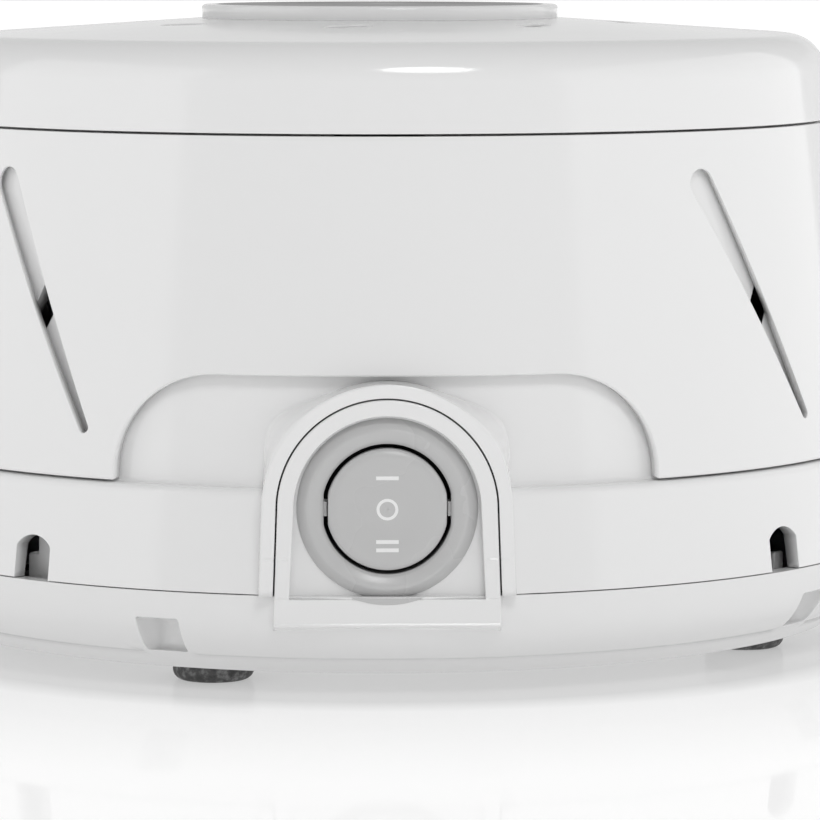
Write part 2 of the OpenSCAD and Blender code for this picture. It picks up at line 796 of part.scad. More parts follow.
module rocker() {
    color("silver") difference() {
        union() {
            front(rocker_face_y - rocker_t, rocker_face_y) translate([0, switch_z]) flat_sided(rocker_r);
            // pivot bar with its two pins, and the finger behind it
            translate([-opening_r - 0.9, -pivot_y, switch_z]) rotate([0, quarter, 0])
                cylinder(r = rocker_pin_r, h = 2 * opening_r + 1.8);
            front(pivot_y - 5.5, rocker_face_y - 1) translate([-2, switch_z - 1.2]) square([4, 2.4]);
        }
        front(rocker_face_y - mark_t, rocker_face_y + 1) mark_outlines();
    }
}

// switch marks: one bar, a ring, two bars
mark_w = 2.9;
bar_t = 0.5;
ring_r = 1.4;
module mark_outlines() {
    for (z = [4.05, -4.15, -5.2]) translate([-mark_w / 2, switch_z + z - bar_t / 2]) square([mark_w, bar_t]);
    translate([0, switch_z]) difference() {
        circle(ring_r);
        circle(ring_r - 0.4);
    }
}

module rocker_marks() {
    color("white") front(rocker_face_y - mark_t, rocker_face_y) mark_outlines();
}

module switch_base() {
    color("black") {
        front(barrel_back_y - switch_base_l, barrel_back_y) translate([0, switch_z]) circle(barrel_r - 0.4);
        front(barrel_back_y, barrel_back_y + 2) translate([0, switch_z]) flat_sided(opening_r - 0.1);
    }
}

module switch_terminals() {
    y1 = barrel_back_y - switch_base_l;
    color("gold") for (k = [-1:1]) front(y1 - terminal_l, y1)
        translate([-spade_w / 2, switch_z + k * spade_step - spade_t / 2]) square([spade_w, spade_t]);
}

// ---- lead from the switch to the motor -----------------------------------

lead_r = 0.9;
lead_sides = 8;
connector_wall = 0.5;
lead_z = switch_z - spade_step;
lead_start_y = barrel_back_y - switch_base_l - terminal_l - connector_l;
coil_end_x = bobbin_half_l + 0.3 + lead_r;
lead_floor_z = base_floor_z + 2;
// corners of the lead's route, rounded by the sweep below
lead_route = [[0, -lead_start_y + 0.3, lead_z], [0, -lead_start_y + 5, lead_z - 1], [8, -30, lead_floor_z + 1],
    [26, -25, lead_floor_z], [stack_half_w + 7, -8, lead_floor_z], [stack_half_w + 7, 12, lead_floor_z],
    [stack_half_w + 2, coil_y - 8, lead_floor_z + 1], [coil_end_x + 3, coil_y, stack_z0 - 4],
    [coil_end_x, coil_y, stack_z0 - 2.6]];

// a quadratic arc across each corner, from the middle of one leg to the next
function route_mid(i) = (lead_route[i] + lead_route[i + 1]) / 2;
lead_points = concat([lead_route[0]],
    [for (i = [1:len(lead_route) - 2], t = [0:0.25:0.99])
        pow(1 - t, 2) * route_mid(i - 1) + 2 * t * (1 - t) * lead_route[i] + t * t * route_mid(i)],
    [route_mid(len(lead_route) - 2), lead_route[len(lead_route) - 1]]);

// tube along a list of points, ring by ring
module tube(points, r, sides) {
    n = len(points);
    function way(i) = let (d = points[min(i + 1, n - 1)] - points[max(i - 1, 0)]) d / norm(d);
    function side_dir(i) = let (c = cross(way(i), [0.05, 0.1, 1])) c / norm(c);
    rings = [for (i = [0:n - 1], k = [0:sides - 1])
        let (a = 360 * k / sides, u = side_dir(i), v = cross(way(i), u)) points[i] + r * (cos(a) * u + sin(a) * v)];
    walls = [for (i = [0:n - 2], k = [0:sides - 1]) let (j = (k + 1) % sides)
        [i * sides + k, (i + 1) * sides + k, (i + 1) * sides + j, i * sides + j]];
    polyhedron(rings, concat([[for (k = [0:sides - 1]) k]], walls,
        [[for (k = [sides - 1:-1:0]) (n - 1) * sides + k]]), convexity = 8);
}

module motor_lead() { color("dimgray") tube(lead_points, lead_r, lead_sides); }

// flat receptacle pushed on the lower terminal
module lead_connector() {
    inner = connector_wall + 0.1;
    color("gold") difference() {
        front(lead_start_y, lead_start_y + connector_l + terminal_l - 1)
            translate([-spade_w / 2 - inner, lead_z - spade_t / 2 - inner])
                square([spade_w + 2 * inner, spade_t + 2 * inner]);
        front(lead_start_y + connector_l - 0.1, lead_start_y + connector_l + terminal_l)
            translate([-spade_w / 2 - 0.1, lead_z - spade_t / 2 - 0.1]) square([spade_w + 0.2, spade_t + 0.2]);
    }
}

// ---- collar --------------------------------------------------------------

module collar_profile() {
    z0 = collar_z0;
    z1 = collar_z1;
    fz = z1 - flange_t;
    polygon([[shell_r(z0), z0], [shell_r(z1), z1],
        [drum_r(drum_top) - flange_w, z1], [drum_r(drum_top) - flange_w, fz],
        [shell_r(fz) - collar_wall, fz], [shell_r(z0) - collar_wall, z0]]);
}

module cutout_outline() {
    z1 = collar_z0 + cutout_h;
    for (s = [-1, 1]) translate([s * (cutout_half_w - cutout_r), z1 - cutout_r]) circle(cutout_r);
    translate([-cutout_half_w, collar_z0 - 1]) square([2 * cutout_half_w, cutout_h + 1 - cutout_r]);
    translate([-cutout_half_w + cutout_r, collar_z0 - 1])
        square([2 * (cutout_half_w - cutout_r), cutout_h + 1]);
}

module collar() {
    color("white") difference() {
        rotate_extrude() collar_profile();
        front(body_r / 2, body_r + 2) cutout_outline();
        for (k = [0:3]) slot_cut(slot_turn + k * quarter, 1, slot_w_top, slot_w_tip);
    }
}

// ---- cap -----------------------------------------------------------------

// centre of the shoulder's arc, tangent to the tapered side and to the cone
side_n = [1, taper] / norm([1, taper]);
cone_n = [cone_fall, 1] / norm([cone_fall, 1]);
side_d = side_n * [shell_r(cap_z0), cap_z0] - shoulder_r;
cone_d = cone_n * [disc_r, cone_z] - shoulder_r;
det = side_n[0] * cone_n[1] - side_n[1] * cone_n[0];
shoulder_c = [(side_d * cone_n[1] - cone_d * side_n[1]) / det,
    (side_n[0] * cone_d - cone_n[0] * side_d) / det];
side_a = atan(taper);
cone_a = quarter - atan(cone_fall);

module cap_profile() {
    z0 = cap_z0;
    polygon(concat(
        [[shell_r(z0), z0]],
        arc(shoulder_c, shoulder_r, side_a, cone_a, 12),
        [[disc_r, cone_z], [0, cone_z], [0, roof_z], [disc_r, roof_z]],
        arc(shoulder_c, shoulder_r - cap_wall, cone_a, side_a, 8),
        [[shell_r(z0) - cap_wall, z0]]));
}

module vent_outline() {
    for (s = [-1, 1]) translate([s * (vent_l - vent_w) / 2, 0]) circle(vent_w / 2);
    square([vent_l - vent_w, vent_w], center = true);
}

disc_pocket_d = 0.6;
disc_seat_r = disc_r - 1;
module cap() {
    color("white") difference() {
        union() {
            rotate_extrude() cap_profile();
            rod(cap_boss_r, hub_z1 + run_gap, roof_z + 1);
            rod(pivot_r, hub_z0 - run_gap, roof_z);
            // stop peg that runs in the deck's slot
            translate([0, stop_r, 0]) rod(stop_peg_r, deck_z0, roof_z - (stop_r - disc_r) * cone_fall + 1);
        }
        for (k = [0:vent_count - 1]) turned(vent_turn + k * 360 / vent_count)
            translate([0, -vent_circle_r, cap_z0]) rotate(25) linear_extrude(cap_h + 2) vent_outline();
        rod(disc_seat_r + seam / 2, cone_z - disc_pocket_d, cone_z + 1);
        rod(pivot_screw_r + 0.05, hub_z0 - 2, hub_z0 + 10);
    }
}

disc_plate_t = 0.4;
module cap_disc() {
    top = cone_z + disc_h;
    color("white") rotate_extrude() polygon(concat(
        [[0, cone_z - disc_pocket_d], [disc_seat_r, cone_z - disc_pocket_d],
         [disc_seat_r, cone_z], [disc_r, cone_z]],
        arc([disc_r - disc_round, top - disc_round], disc_round, 0, quarter, 6),
        [[disc_plate_r + seam / 2, top], [disc_plate_r + seam / 2, top - disc_plate_t],
         [0, top - disc_plate_t]]));
}

// thin metal plate let into the disc
module disc_plate() {
    color("silver") rod(disc_plate_r, cone_z + disc_h - disc_plate_t, cone_z + disc_h);
}

module cap_pivot_washer() {
    color("silver") ring(hub_r - 1.5, pivot_screw_r + 0.1, hub_z0 - run_gap - washer_t, hub_z0 - run_gap);
}

module cap_pivot_screw() {
    color("silver") screw_up(pivot_screw_r, screw_head_r, head_t, hub_z0 - run_gap - washer_t, 10);
}

// ---- the nodes -----------------------------------------------------------

base_tray();
rubber_foot(0);  // rubber_foot_1
rubber_foot(1);  // rubber_foot_2
rubber_foot(2);  // rubber_foot_3
rubber_foot(3);  // rubber_foot_4
housing_screws();
housing();
cord_gland();
motor_plate();
plate_screws();
stator_stack();
shading_rings();
bobbin();
coil();
upper_bracket();
lower_bracket();
upper_bearing();
lower_bearing();
bracket_screws();
motor_grommet(-1);  // motor_grommet_1
motor_grommet(1);  // motor_grommet_2
motor_screws();
shaft();
rotor_core();
thrust_washer();
fan_wheel();
fan_clip();
switch_bezel();
switch_base();
switch_terminals();
lead_connector();
motor_lead();
rocker();
rocker_marks();
collar();
cap();
cap_disc();
disc_plate();
cap_pivot_washer();
cap_pivot_screw();
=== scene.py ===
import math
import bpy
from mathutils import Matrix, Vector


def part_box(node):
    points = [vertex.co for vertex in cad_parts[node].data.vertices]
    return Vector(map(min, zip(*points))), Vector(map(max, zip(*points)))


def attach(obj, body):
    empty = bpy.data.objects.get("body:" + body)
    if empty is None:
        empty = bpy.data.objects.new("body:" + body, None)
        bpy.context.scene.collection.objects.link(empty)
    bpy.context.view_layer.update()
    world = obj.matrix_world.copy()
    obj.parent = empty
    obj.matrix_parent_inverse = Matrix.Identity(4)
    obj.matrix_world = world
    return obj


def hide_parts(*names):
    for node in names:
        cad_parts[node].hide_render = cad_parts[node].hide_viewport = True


bl_info = {
    "name": "White noise sound machine",
    "version": (1, 0, 0),
    "blender": (4, 5, 0),
    "location": "View3D > Sidebar > Sound Machine",
    "description": "Builds the mouldings, switch and finishes of a fan sound machine round its packed frame",
    "category": "Add Mesh",
}

import bmesh
import bpy
import numpy as np
from bpy.props import FloatProperty, FloatVectorProperty, PointerProperty
from mathutils import Vector
from mathutils.geometry import delaunay_2d_cdt

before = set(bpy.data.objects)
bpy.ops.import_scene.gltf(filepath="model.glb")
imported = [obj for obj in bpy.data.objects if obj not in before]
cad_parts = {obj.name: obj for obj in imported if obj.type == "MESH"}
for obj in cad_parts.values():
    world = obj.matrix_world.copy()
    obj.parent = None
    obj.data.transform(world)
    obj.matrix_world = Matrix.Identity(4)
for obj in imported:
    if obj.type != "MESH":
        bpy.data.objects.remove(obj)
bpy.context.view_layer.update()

MM = 0.001
WELD = 1e-7                # corners closer than this are one
SLOPE_STEP = 2e-5          # how far apart a surface is read for its slope
SHARP = math.radians(38)   # faces that meet at more than this angle keep their edge
TURNS = 192                # corners round a turned surface
AXIS = 0.01 * MM           # radius taken for a corner on the axis of a turned piece

BASE_LOW, BASE_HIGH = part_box("base_tray")
HOUSING_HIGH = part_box("housing")[1]
COLLAR_LOW, COLLAR_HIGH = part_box("collar")
DISC_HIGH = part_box("cap_disc")[1]
PLATE_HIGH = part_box("disc_plate")[1]
BEZEL_LOW, BEZEL_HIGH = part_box("switch_bezel")
ROCKER_LOW, ROCKER_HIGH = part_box("rocker")
GLAND_LOW, GLAND_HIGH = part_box("cord_gland")
SWITCH_Z = (ROCKER_LOW.z + ROCKER_HIGH.z) / 2


# ---- outlines ------------------------------------------------------------

class Profile:
    """A turned outline of straight and round stretches, read by the length along it."""

    def __init__(self, r, z):
        self.parts = []
        self.end = (r, z)
        self.length = 0.0

    def line(self, r, z):
        size = math.hypot(r - self.end[0], z - self.end[1])
        self.parts.append((self.length, size, None, self.end, (r, z)))
        self.length += size
        self.end = (r, z)
        return self

    def arc(self, centre, radius, a0, a1):
        size = radius * abs(a1 - a0)
        self.parts.append((self.length, size, centre, radius, (a0, a1)))
        self.length += size
        self.end = (centre[0] + radius * math.cos(a1), centre[1] + radius * math.sin(a1))
        return self

    def __call__(self, v):
        for start, size, centre, a, b in self.parts:
            if v <= start + size or (start, size) == self.parts[-1][:2]:
                break
        share = (v - start) / size
        if centre is None:
            return a[0] + (b[0] - a[0]) * share, a[1] + (b[1] - a[1]) * share
        turn = b[0] + (b[1] - b[0]) * share
        return centre[0] + a * math.cos(turn), centre[1] + a * math.sin(turn)

    def levels(self, step, turn=math.radians(8)):
        """Lengths at which rows of corners follow the outline."""
        found = [0.0]
        for start, size, centre, a, b in self.parts:
            count = math.ceil(size / step)
            if centre is not None:
                count = max(count, math.ceil(abs(b[1] - b[0]) / turn))
            found += [start + size * (k + 1) / count for k in range(count)]
        return found


def spread(a, b, count):
    """count + 1 even values from a to b."""
    return [a + (b - a) * k / count for k in range(count + 1)]


def arc_points(centre, radius, a0, a1, count):
    x, y = centre
    return [(x + radius * math.cos(a), y + radius * math.sin(a)) for a in spread(a0, a1, count)]


def circle_points(centre, radius, count, turn=1):
    """A closed round loop; turn = -1 runs clockwise."""
    return arc_points(centre, radius, 0, turn * math.tau, count)[:-1]


def fine_line(points, step, closed=False):
    """The same line with corners no further apart than step."""
    found = []
    ends = points + points[:1] if closed else points
    for a, b in zip(ends, ends[1:]):
        count = max(1, math.ceil(math.dist(a, b) / step))
        found += [(a[0] + (b[0] - a[0]) * k / count, a[1] + (b[1] - a[1]) * k / count) for k in range(count)]
    return found if closed else found + [ends[-1]]


def crossed(loop, levels):
    """A closed loop with corners added where it crosses the levels."""
    found = []
    for a, b in zip(loop, loop[1:] + loop[:1]):
        found.append(a)
        rise = b[1] - a[1]
        cuts = [(v - a[1]) / rise for v in levels if rise and 0.02 < (v - a[1]) / rise < 0.98]
        found += [(a[0] + (b[0] - a[0]) * cut, a[1] + rise * cut) for cut in sorted(cuts)]
    return found


def smooth(low, high, value):
    """0 below low, 1 above high, and an even curve between."""
    share = min(1.0, max(0.0, (value - low) / (high - low)))
    return share * share * (3 - 2 * share)


def sub(a, b):
    return a[0] - b[0], a[1] - b[1], a[2] - b[2]


def cross(a, b):
    return a[1] * b[2] - a[2] * b[1], a[2] * b[0] - a[0] * b[2], a[0] * b[1] - a[1] * b[0]


def unit(a):
    size = math.sqrt(a[0] ** 2 + a[1] ** 2 + a[2] ** 2) or 1.0
    return a[0] / size, a[1] / size, a[2] / size


def facing(place, u, v):
    """The surface's own direction at a point of its layout."""
    e = SLOPE_STEP
    along = sub(place(u + e, v), place(u - e, v))
    across = sub(place(u, v + e), place(u, v - e))
    return unit(cross(along, across))


def inward(loop, closed):
    """Unit directions to the left of travel, which is where the material lies."""
    n = len(loop)
    found = []
    for k in range(n):
        if closed:
            a, b = loop[k - 1], loop[(k + 1) % n]
        else:
            a, b = loop[max(k - 1, 0)], loop[min(k + 1, n - 1)]
        du, dv = b[0] - a[0], b[1] - a[1]
        size = math.hypot(du, dv)
        found.append((-dv / size, du / size))
    if not closed:
        found[0] = found[-1] = (0.0, 1.0)    # both ends lie on the rear seam
    return found


def inside(points, loops):
    """Which points lie inside an odd number of the loops."""
    px, py = points[:, 0:1], points[:, 1:2]
    odd = np.zeros(len(points), bool)
    for loop in loops:
        a = np.array(loop)
        b = np.roll(a, -1, axis=0)
        spans = (a[None, :, 1] > py) != (b[None, :, 1] > py)
        rise = np.where(b[:, 1] == a[:, 1], 1.0, b[:, 1] - a[:, 1])
        at = a[:, 0] + (py - a[:, 1]) * (b[:, 0] - a[:, 0]) / rise
        odd ^= (np.sum(spans & (px < at), axis=1) % 2).astype(bool)
    return odd


def bounded(points, faces, fixed, loops):
    """The faces inside the loops. Faces that meet at an edge of no loop are kept or dropped together."""
    group = list(range(len(faces)))

    def root(k):
        while group[k] != k:
            group[k] = group[group[k]]
            k = group[k]
        return k

    beside = {}
    for k, face in enumerate(faces):
        for pair in zip(face, face[1:] + face[:1]):
            other = beside.setdefault(frozenset(pair), k)
            if frozenset(pair) not in fixed:
                group[root(other)] = root(k)
    middles = np.array([[sum(points[c][i] for c in face) / len(face) for i in (0, 1)] for face in faces])
    votes = {}
    for k, (face, within) in enumerate(zip(faces, inside(middles, loops))):
        a, b, c = (points[i] for i in face[:3])
        area = abs((b[0] - a[0]) * (c[1] - a[1]) - (b[1] - a[1]) * (c[0] - a[0]))
        votes[root(k)] = votes.get(root(k), 0.0) + (area if within else -area)
    return [face for k, face in enumerate(faces) if votes[root(k)] > 0]


class Shell:
    """Faces of one piece, gathered patch by patch. Corners at the same place are one corner."""

    def __init__(self):
        self.index = {}
        self.points = []
        self.facings = []
        self.faces = []

    def corner(self, point, direction=None):
        key = tuple(round(c / WELD) for c in point)
        at = self.index.get(key)
        if at is None:
            at = self.index[key] = len(self.points)
            self.points.append(tuple(point))
            self.facings.append(None)
        if direction is not None:
            self.facings[at] = direction
        return at

    def face(self, corners):
        kept = [c for k, c in enumerate(corners) if c != corners[k - 1]]
        if len(kept) >= 3 and len(set(kept)) == len(kept):
            self.faces.append(kept)

    def rows(self, rows, closed=False):
        """Faces from each row of corners to the next. A corner is a point, or a point and its direction."""
        lines = []
        for row in rows:
            lines.append([self.corner(*c) if isinstance(c[0], tuple) else self.corner(c) for c in row])
        for a, b in zip(lines, lines[1:]):
            n = len(a)
            for k in range(n if closed else n - 1):
                j = (k + 1) % n
                self.face([a[k], a[j], b[j], b[k]])
        return lines

    def fill(self, place, loops, step, levels=None, exact=True, clear=0.55):
        """Triangles over what the loops of a flat layout bound, put in space by place(u, v).

        Inner corners stand step apart, or in rows at the given levels, and keep clear of the loops by a
        share of step. exact takes each corner's direction from the surface itself.
        """
        bound = np.array([p for loop in loops for p in loop])
        low, high = bound.min(axis=0), bound.max(axis=0)
        us = np.arange(low[0] + step / 2, high[0], step)
        vs = np.array(levels) if levels is not None else np.arange(low[1] + step / 2, high[1], step)
        spots = np.array([(u, v) for v in vs for u in us])
        if len(spots):
            spots = spots[inside(spots, loops)]
        if len(spots):
            near = np.full(len(spots), np.inf)
            for k in range(0, len(bound), 256):
                part = bound[k:k + 256]
                gap = (spots[:, None, :] - part[None, :, :]) ** 2
                near = np.minimum(near, gap.sum(axis=2).min(axis=1))
            spots = spots[near > (clear * step) ** 2]
        edges, base = [], 0
        for loop in loops:
            edges += [(base + k, base + (k + 1) % len(loop)) for k in range(len(loop))]
            base += len(loop)
        flat = [Vector(p) for p in bound] + [Vector(p) for p in spots]
        found, links, faces, origin, walls, _ = delaunay_2d_cdt(flat, edges, [], 0, 1e-9)
        fixed = {frozenset(link) for link, wall in zip(links, walls) if wall}
        ids = {}
        for f in bounded(found, faces, fixed, loops):
            for c in f:
                if c not in ids:
                    source = origin[c][0] if origin[c] else None
                    if source is None:
                        u, v = found[c]
                    elif source < len(bound):
                        u, v = bound[source]
                    else:
                        u, v = spots[source - len(bound)]
                    u, v = float(u), float(v)
                    ids[c] = self.corner(place(u, v), facing(place, u, v) if exact else None)
            self.face([ids[c] for c in f])

    def edge(self, place, back, loop, radius, steps=3, closed=True):
        """A rounded edge along a loop of the skin and a wall to the back.

        radius is one rounding for the whole loop, or a list with one for each corner. Returns the loop
        where the skin starts.
        """
        left = inward(loop, closed)
        radii = radius if isinstance(radius, list) else [radius] * len(loop)
        rows = []
        for k in range(steps + 1):
            turn = math.pi / 2 * k / steps
            row = []
            for p, m, r in zip(loop, left, radii):
                away = r * (1 - math.sin(turn))
                q = (p[0] + m[0] * away, p[1] + m[1] * away)
                top, low = place(*q), back(*q)
                down = unit(sub(low, top))
                drop = r * (1 - math.cos(turn))
                point = tuple(t + d * drop for t, d in zip(top, down))
                if k == 0:
                    row.append((point, facing(place, *q)))
                    continue
                du, dv = m[0] * SLOPE_STEP, m[1] * SLOPE_STEP
                out = unit(sub(place(p[0] - du, p[1] - dv), place(p[0] + du, p[1] + dv)))
                lean = unit(tuple(math.cos(turn) * -d + math.sin(turn) * o for d, o in zip(down, out)))
                row.append((point, lean))
            rows.append(row)
        rows.append([back(*p) for p in loop])
        self.rows(rows, closed)
        return [(p[0] + m[0] * r, p[1] + m[1] * r) for p, m, r in zip(loop, left, radii)]

    def turned(self, profile, closed=False):
        """Rows round the Z axis from (r, z) points."""
        rows = [ring(r, z) for r, z in profile]
        if closed:
            rows.append(rows[0])
        self.rows(rows)

    def build(self, name, finish, body, replaces):
        """Makes the closed mesh, rides it on its body and hides the parts that it stands for."""
        mesh = bpy.data.meshes.new(name)
        mesh.from_pydata(self.points, [], self.faces)
        work = bmesh.new()
        work.from_mesh(mesh)
        bmesh.ops.recalc_face_normals(work, faces=work.faces)
        if any(len(e.link_faces) != 2 for e in work.edges):
            raise RuntimeError(f"{name} isn't closed")
        work.to_mesh(mesh)
        work.free()
        mesh.polygons.foreach_set("use_smooth", [True] * len(mesh.polygons))
        mesh.set_sharp_from_angle(angle=SHARP)
        own = [v.normal.copy() for v in mesh.vertices]
        custom = []
        for direction, normal in zip(self.facings, own):
            if direction is None:
                custom.append((0.0, 0.0, 0.0))
            else:
                side = 1 if normal.dot(Vector(direction)) >= 0 else -1
                custom.append(tuple(side * c for c in direction))
        mesh.normals_split_custom_set_from_vertices(custom)
        made = bpy.data.objects.new(name, mesh)
        bpy.context.scene.collection.objects.link(made)
        mesh.materials.append(finish)
        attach(made, body)
        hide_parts(*replaces)
        return made


def ring(r, z):
    """A row of corners round the Z axis, from the rear and back to it."""
    found = []
    for k in range(TURNS + 1):
        a = -math.pi + math.tau * k / TURNS
        found.append((r * math.sin(a), -r * math.cos(a), z))
    return found


def wrapped(profile, radius):
    """Places a layout of (arc length, profile length) round the body."""
    def place(u, v):
        r, z = profile(v)
        a = u / radius
        return r * math.sin(a), -r * math.cos(a), z
    return place


def stretched(profile, pairs):
    """A second outline, read by the length along the first; pairs say which lengths meet."""
    def read(v):
        for (a, p), (b, q) in zip(pairs, pairs[1:]):
            if v <= b:
                break
        return profile(p + (q - p) * (v - a) / (b - a))
    return read


def panel_loop(lower, upper, levels, half):
    """The closed outline of a wrapped skin, with matching corners up both sides of the rear seam."""
    low_end, high_end = lower[-1][1], upper[0][1]
    between = [v for v in levels if low_end + 0.1 * MM < v < high_end - 0.1 * MM]
    return lower + [(half, v) for v in between] + upper + [(-half, v) for v in reversed(between)]


# ---- finishes ------------------------------------------------------------

WAVE_PITCH = 0.314   # a wave texture of this scale repeats once a metre


def new_finish(name, roughness, metallic=0.0, ior=1.5):
    finish = bpy.data.materials.new(name)
    finish.use_nodes = True
    shader = finish.node_tree.nodes["Principled BSDF"]
    shader.inputs["Roughness"].default_value = roughness
    shader.inputs["Metallic"].default_value = metallic
    shader.inputs["IOR"].default_value = ior
    return finish, finish.node_tree, shader


def object_place(tree):
    return tree.nodes.new("ShaderNodeTexCoord").outputs["Object"]


def noise(tree, place, scale, detail=4.0, rough=0.5):
    node = tree.nodes.new("ShaderNodeTexNoise")
    node.inputs["Scale"].default_value = scale
    node.inputs["Detail"].default_value = detail
    node.inputs["Roughness"].default_value = rough
    tree.links.new(place, node.inputs["Vector"])
    return node.outputs["Fac"]


def between(tree, share, low, high, start=0.3, end=0.7):
    """A value that goes from low to high as share goes from start to end."""
    node = tree.nodes.new("ShaderNodeMapRange")
    tree.links.new(share, node.inputs["Value"])
    for socket, value in (("From Min", start), ("From Max", end), ("To Min", low), ("To Max", high)):
        node.inputs[socket].default_value = value
    return node.outputs["Result"]


def colours(tree, share, *stops):
    """A colour ramp; a stop is (place, colour)."""
    node = tree.nodes.new("ShaderNodeValToRGB")
    ramp = node.color_ramp
    while len(ramp.elements) < len(stops):
        ramp.elements.new(0.5)
    for element, (at, colour) in zip(ramp.elements, stops):
        element.position = at
        element.color = (*colour, 1.0)
    tree.links.new(share, node.inputs["Fac"])
    return node.outputs["Color"]


def bump(tree, shader, height, distance):
    node = tree.nodes.new("ShaderNodeBump")
    node.inputs["Strength"].default_value = 1.0
    node.inputs["Distance"].default_value = distance
    tree.links.new(height, node.inputs["Height"])
    tree.links.new(node.outputs["Normal"], shader.inputs["Normal"])


def tone(colour, share):
    return tuple(min(1.0, c * share) for c in colour)


def moulded_plastic(name, colour, roughness, grain, grain_size, drift=0.01):
    """Moulded plastic: a fine skin, a slow drift of tone and slightly uneven gloss."""
    finish, tree, shader = new_finish(name, roughness)
    place = object_place(tree)
    slow = noise(tree, place, 18, 2)
    skin = noise(tree, place, 1 / grain_size, 3)
    tint = colours(tree, slow, (0.3, tone(colour, 1 - drift)), (0.7, tone(colour, 1 + drift)))
    tree.links.new(tint, shader.inputs["Base Color"])
    gloss = between(tree, noise(tree, place, 60, 3), roughness * 0.9, roughness * 1.12)
    tree.links.new(gloss, shader.inputs["Roughness"])
    bump(tree, shader, skin, grain)
    return finish


def rubber(name, colour):
    """Matt rubber with dusty, lighter spots."""
    finish, tree, shader = new_finish(name, 0.62, ior=1.45)
    place = object_place(tree)
    spots = noise(tree, place, 900, 5, 0.65)
    tint = colours(tree, spots, (0.38, tone(colour, 0.55)), (0.52, colour), (0.66, tone(colour, 2.6)))
    tree.links.new(tint, shader.inputs["Base Color"])
    tree.links.new(between(tree, spots, 0.5, 0.8), shader.inputs["Roughness"])
    bump(tree, shader, spots, 0.04 * MM)
    return finish


def turned_metal(name, colour, roughness, line, depth, glance):
    """Metal with fine turned lines round the Z axis; glance is its tone at a flat angle."""
    finish, tree, shader = new_finish(name, roughness, metallic=1.0)
    shader.inputs["Specular Tint"].default_value = (glance, glance, glance, 1)
    place = object_place(tree)
    wave = tree.nodes.new("ShaderNodeTexWave")
    wave.wave_type = "RINGS"
    wave.rings_direction = "Z"
    wave.inputs["Scale"].default_value = 1 / line
    wave.inputs["Distortion"].default_value = 1.5
    wave.inputs["Detail"].default_value = 3
    tree.links.new(place, wave.inputs["Vector"])
    cloud = noise(tree, place, 140, 4)
    tint = colours(tree, cloud, (0.3, tone(colour, 0.92)), (0.7, tone(colour, 1.06)))
    tree.links.new(tint, shader.inputs["Base Color"])
    tree.links.new(between(tree, wave.outputs["Fac"], roughness * 0.85, roughness * 1.2, 0, 1),
                   shader.inputs["Roughness"])
    bump(tree, shader, wave.outputs["Fac"], depth)
    return finish


def plain_metal(name, colour, roughness, cloud=0.12):
    """Cut, plated or cast metal: clouded colour and uneven gloss."""
    finish, tree, shader = new_finish(name, roughness, metallic=1.0)
    place = object_place(tree)
    patches = noise(tree, place, 220, 5, 0.6)
    tint = colours(tree, patches, (0.3, tone(colour, 1 - cloud)), (0.7, tone(colour, 1 + cloud)))
    tree.links.new(tint, shader.inputs["Base Color"])
    tree.links.new(between(tree, patches, roughness * 0.8, roughness * 1.3), shader.inputs["Roughness"])
    bump(tree, shader, noise(tree, place, 2600, 3), 0.01 * MM)
    return finish


def banded_metal(name, colour, gap, roughness, line, direction):
    """Metal in fine layers or windings along one axis; line is their pitch."""
    finish, tree, shader = new_finish(name, roughness, metallic=1.0)
    place = object_place(tree)
    wave = tree.nodes.new("ShaderNodeTexWave")
    wave.bands_direction = direction
    wave.inputs["Scale"].default_value = WAVE_PITCH / line
    wave.inputs["Distortion"].default_value = 0.4
    wave.inputs["Detail"].default_value = 2
    tree.links.new(place, wave.inputs["Vector"])
    tint = colours(tree, wave.outputs["Fac"], (0.1, gap), (0.45, colour))
    tree.links.new(tint, shader.inputs["Base Color"])
    bump(tree, shader, wave.outputs["Fac"], line * 0.3)
    return finish


FINISHES = {}


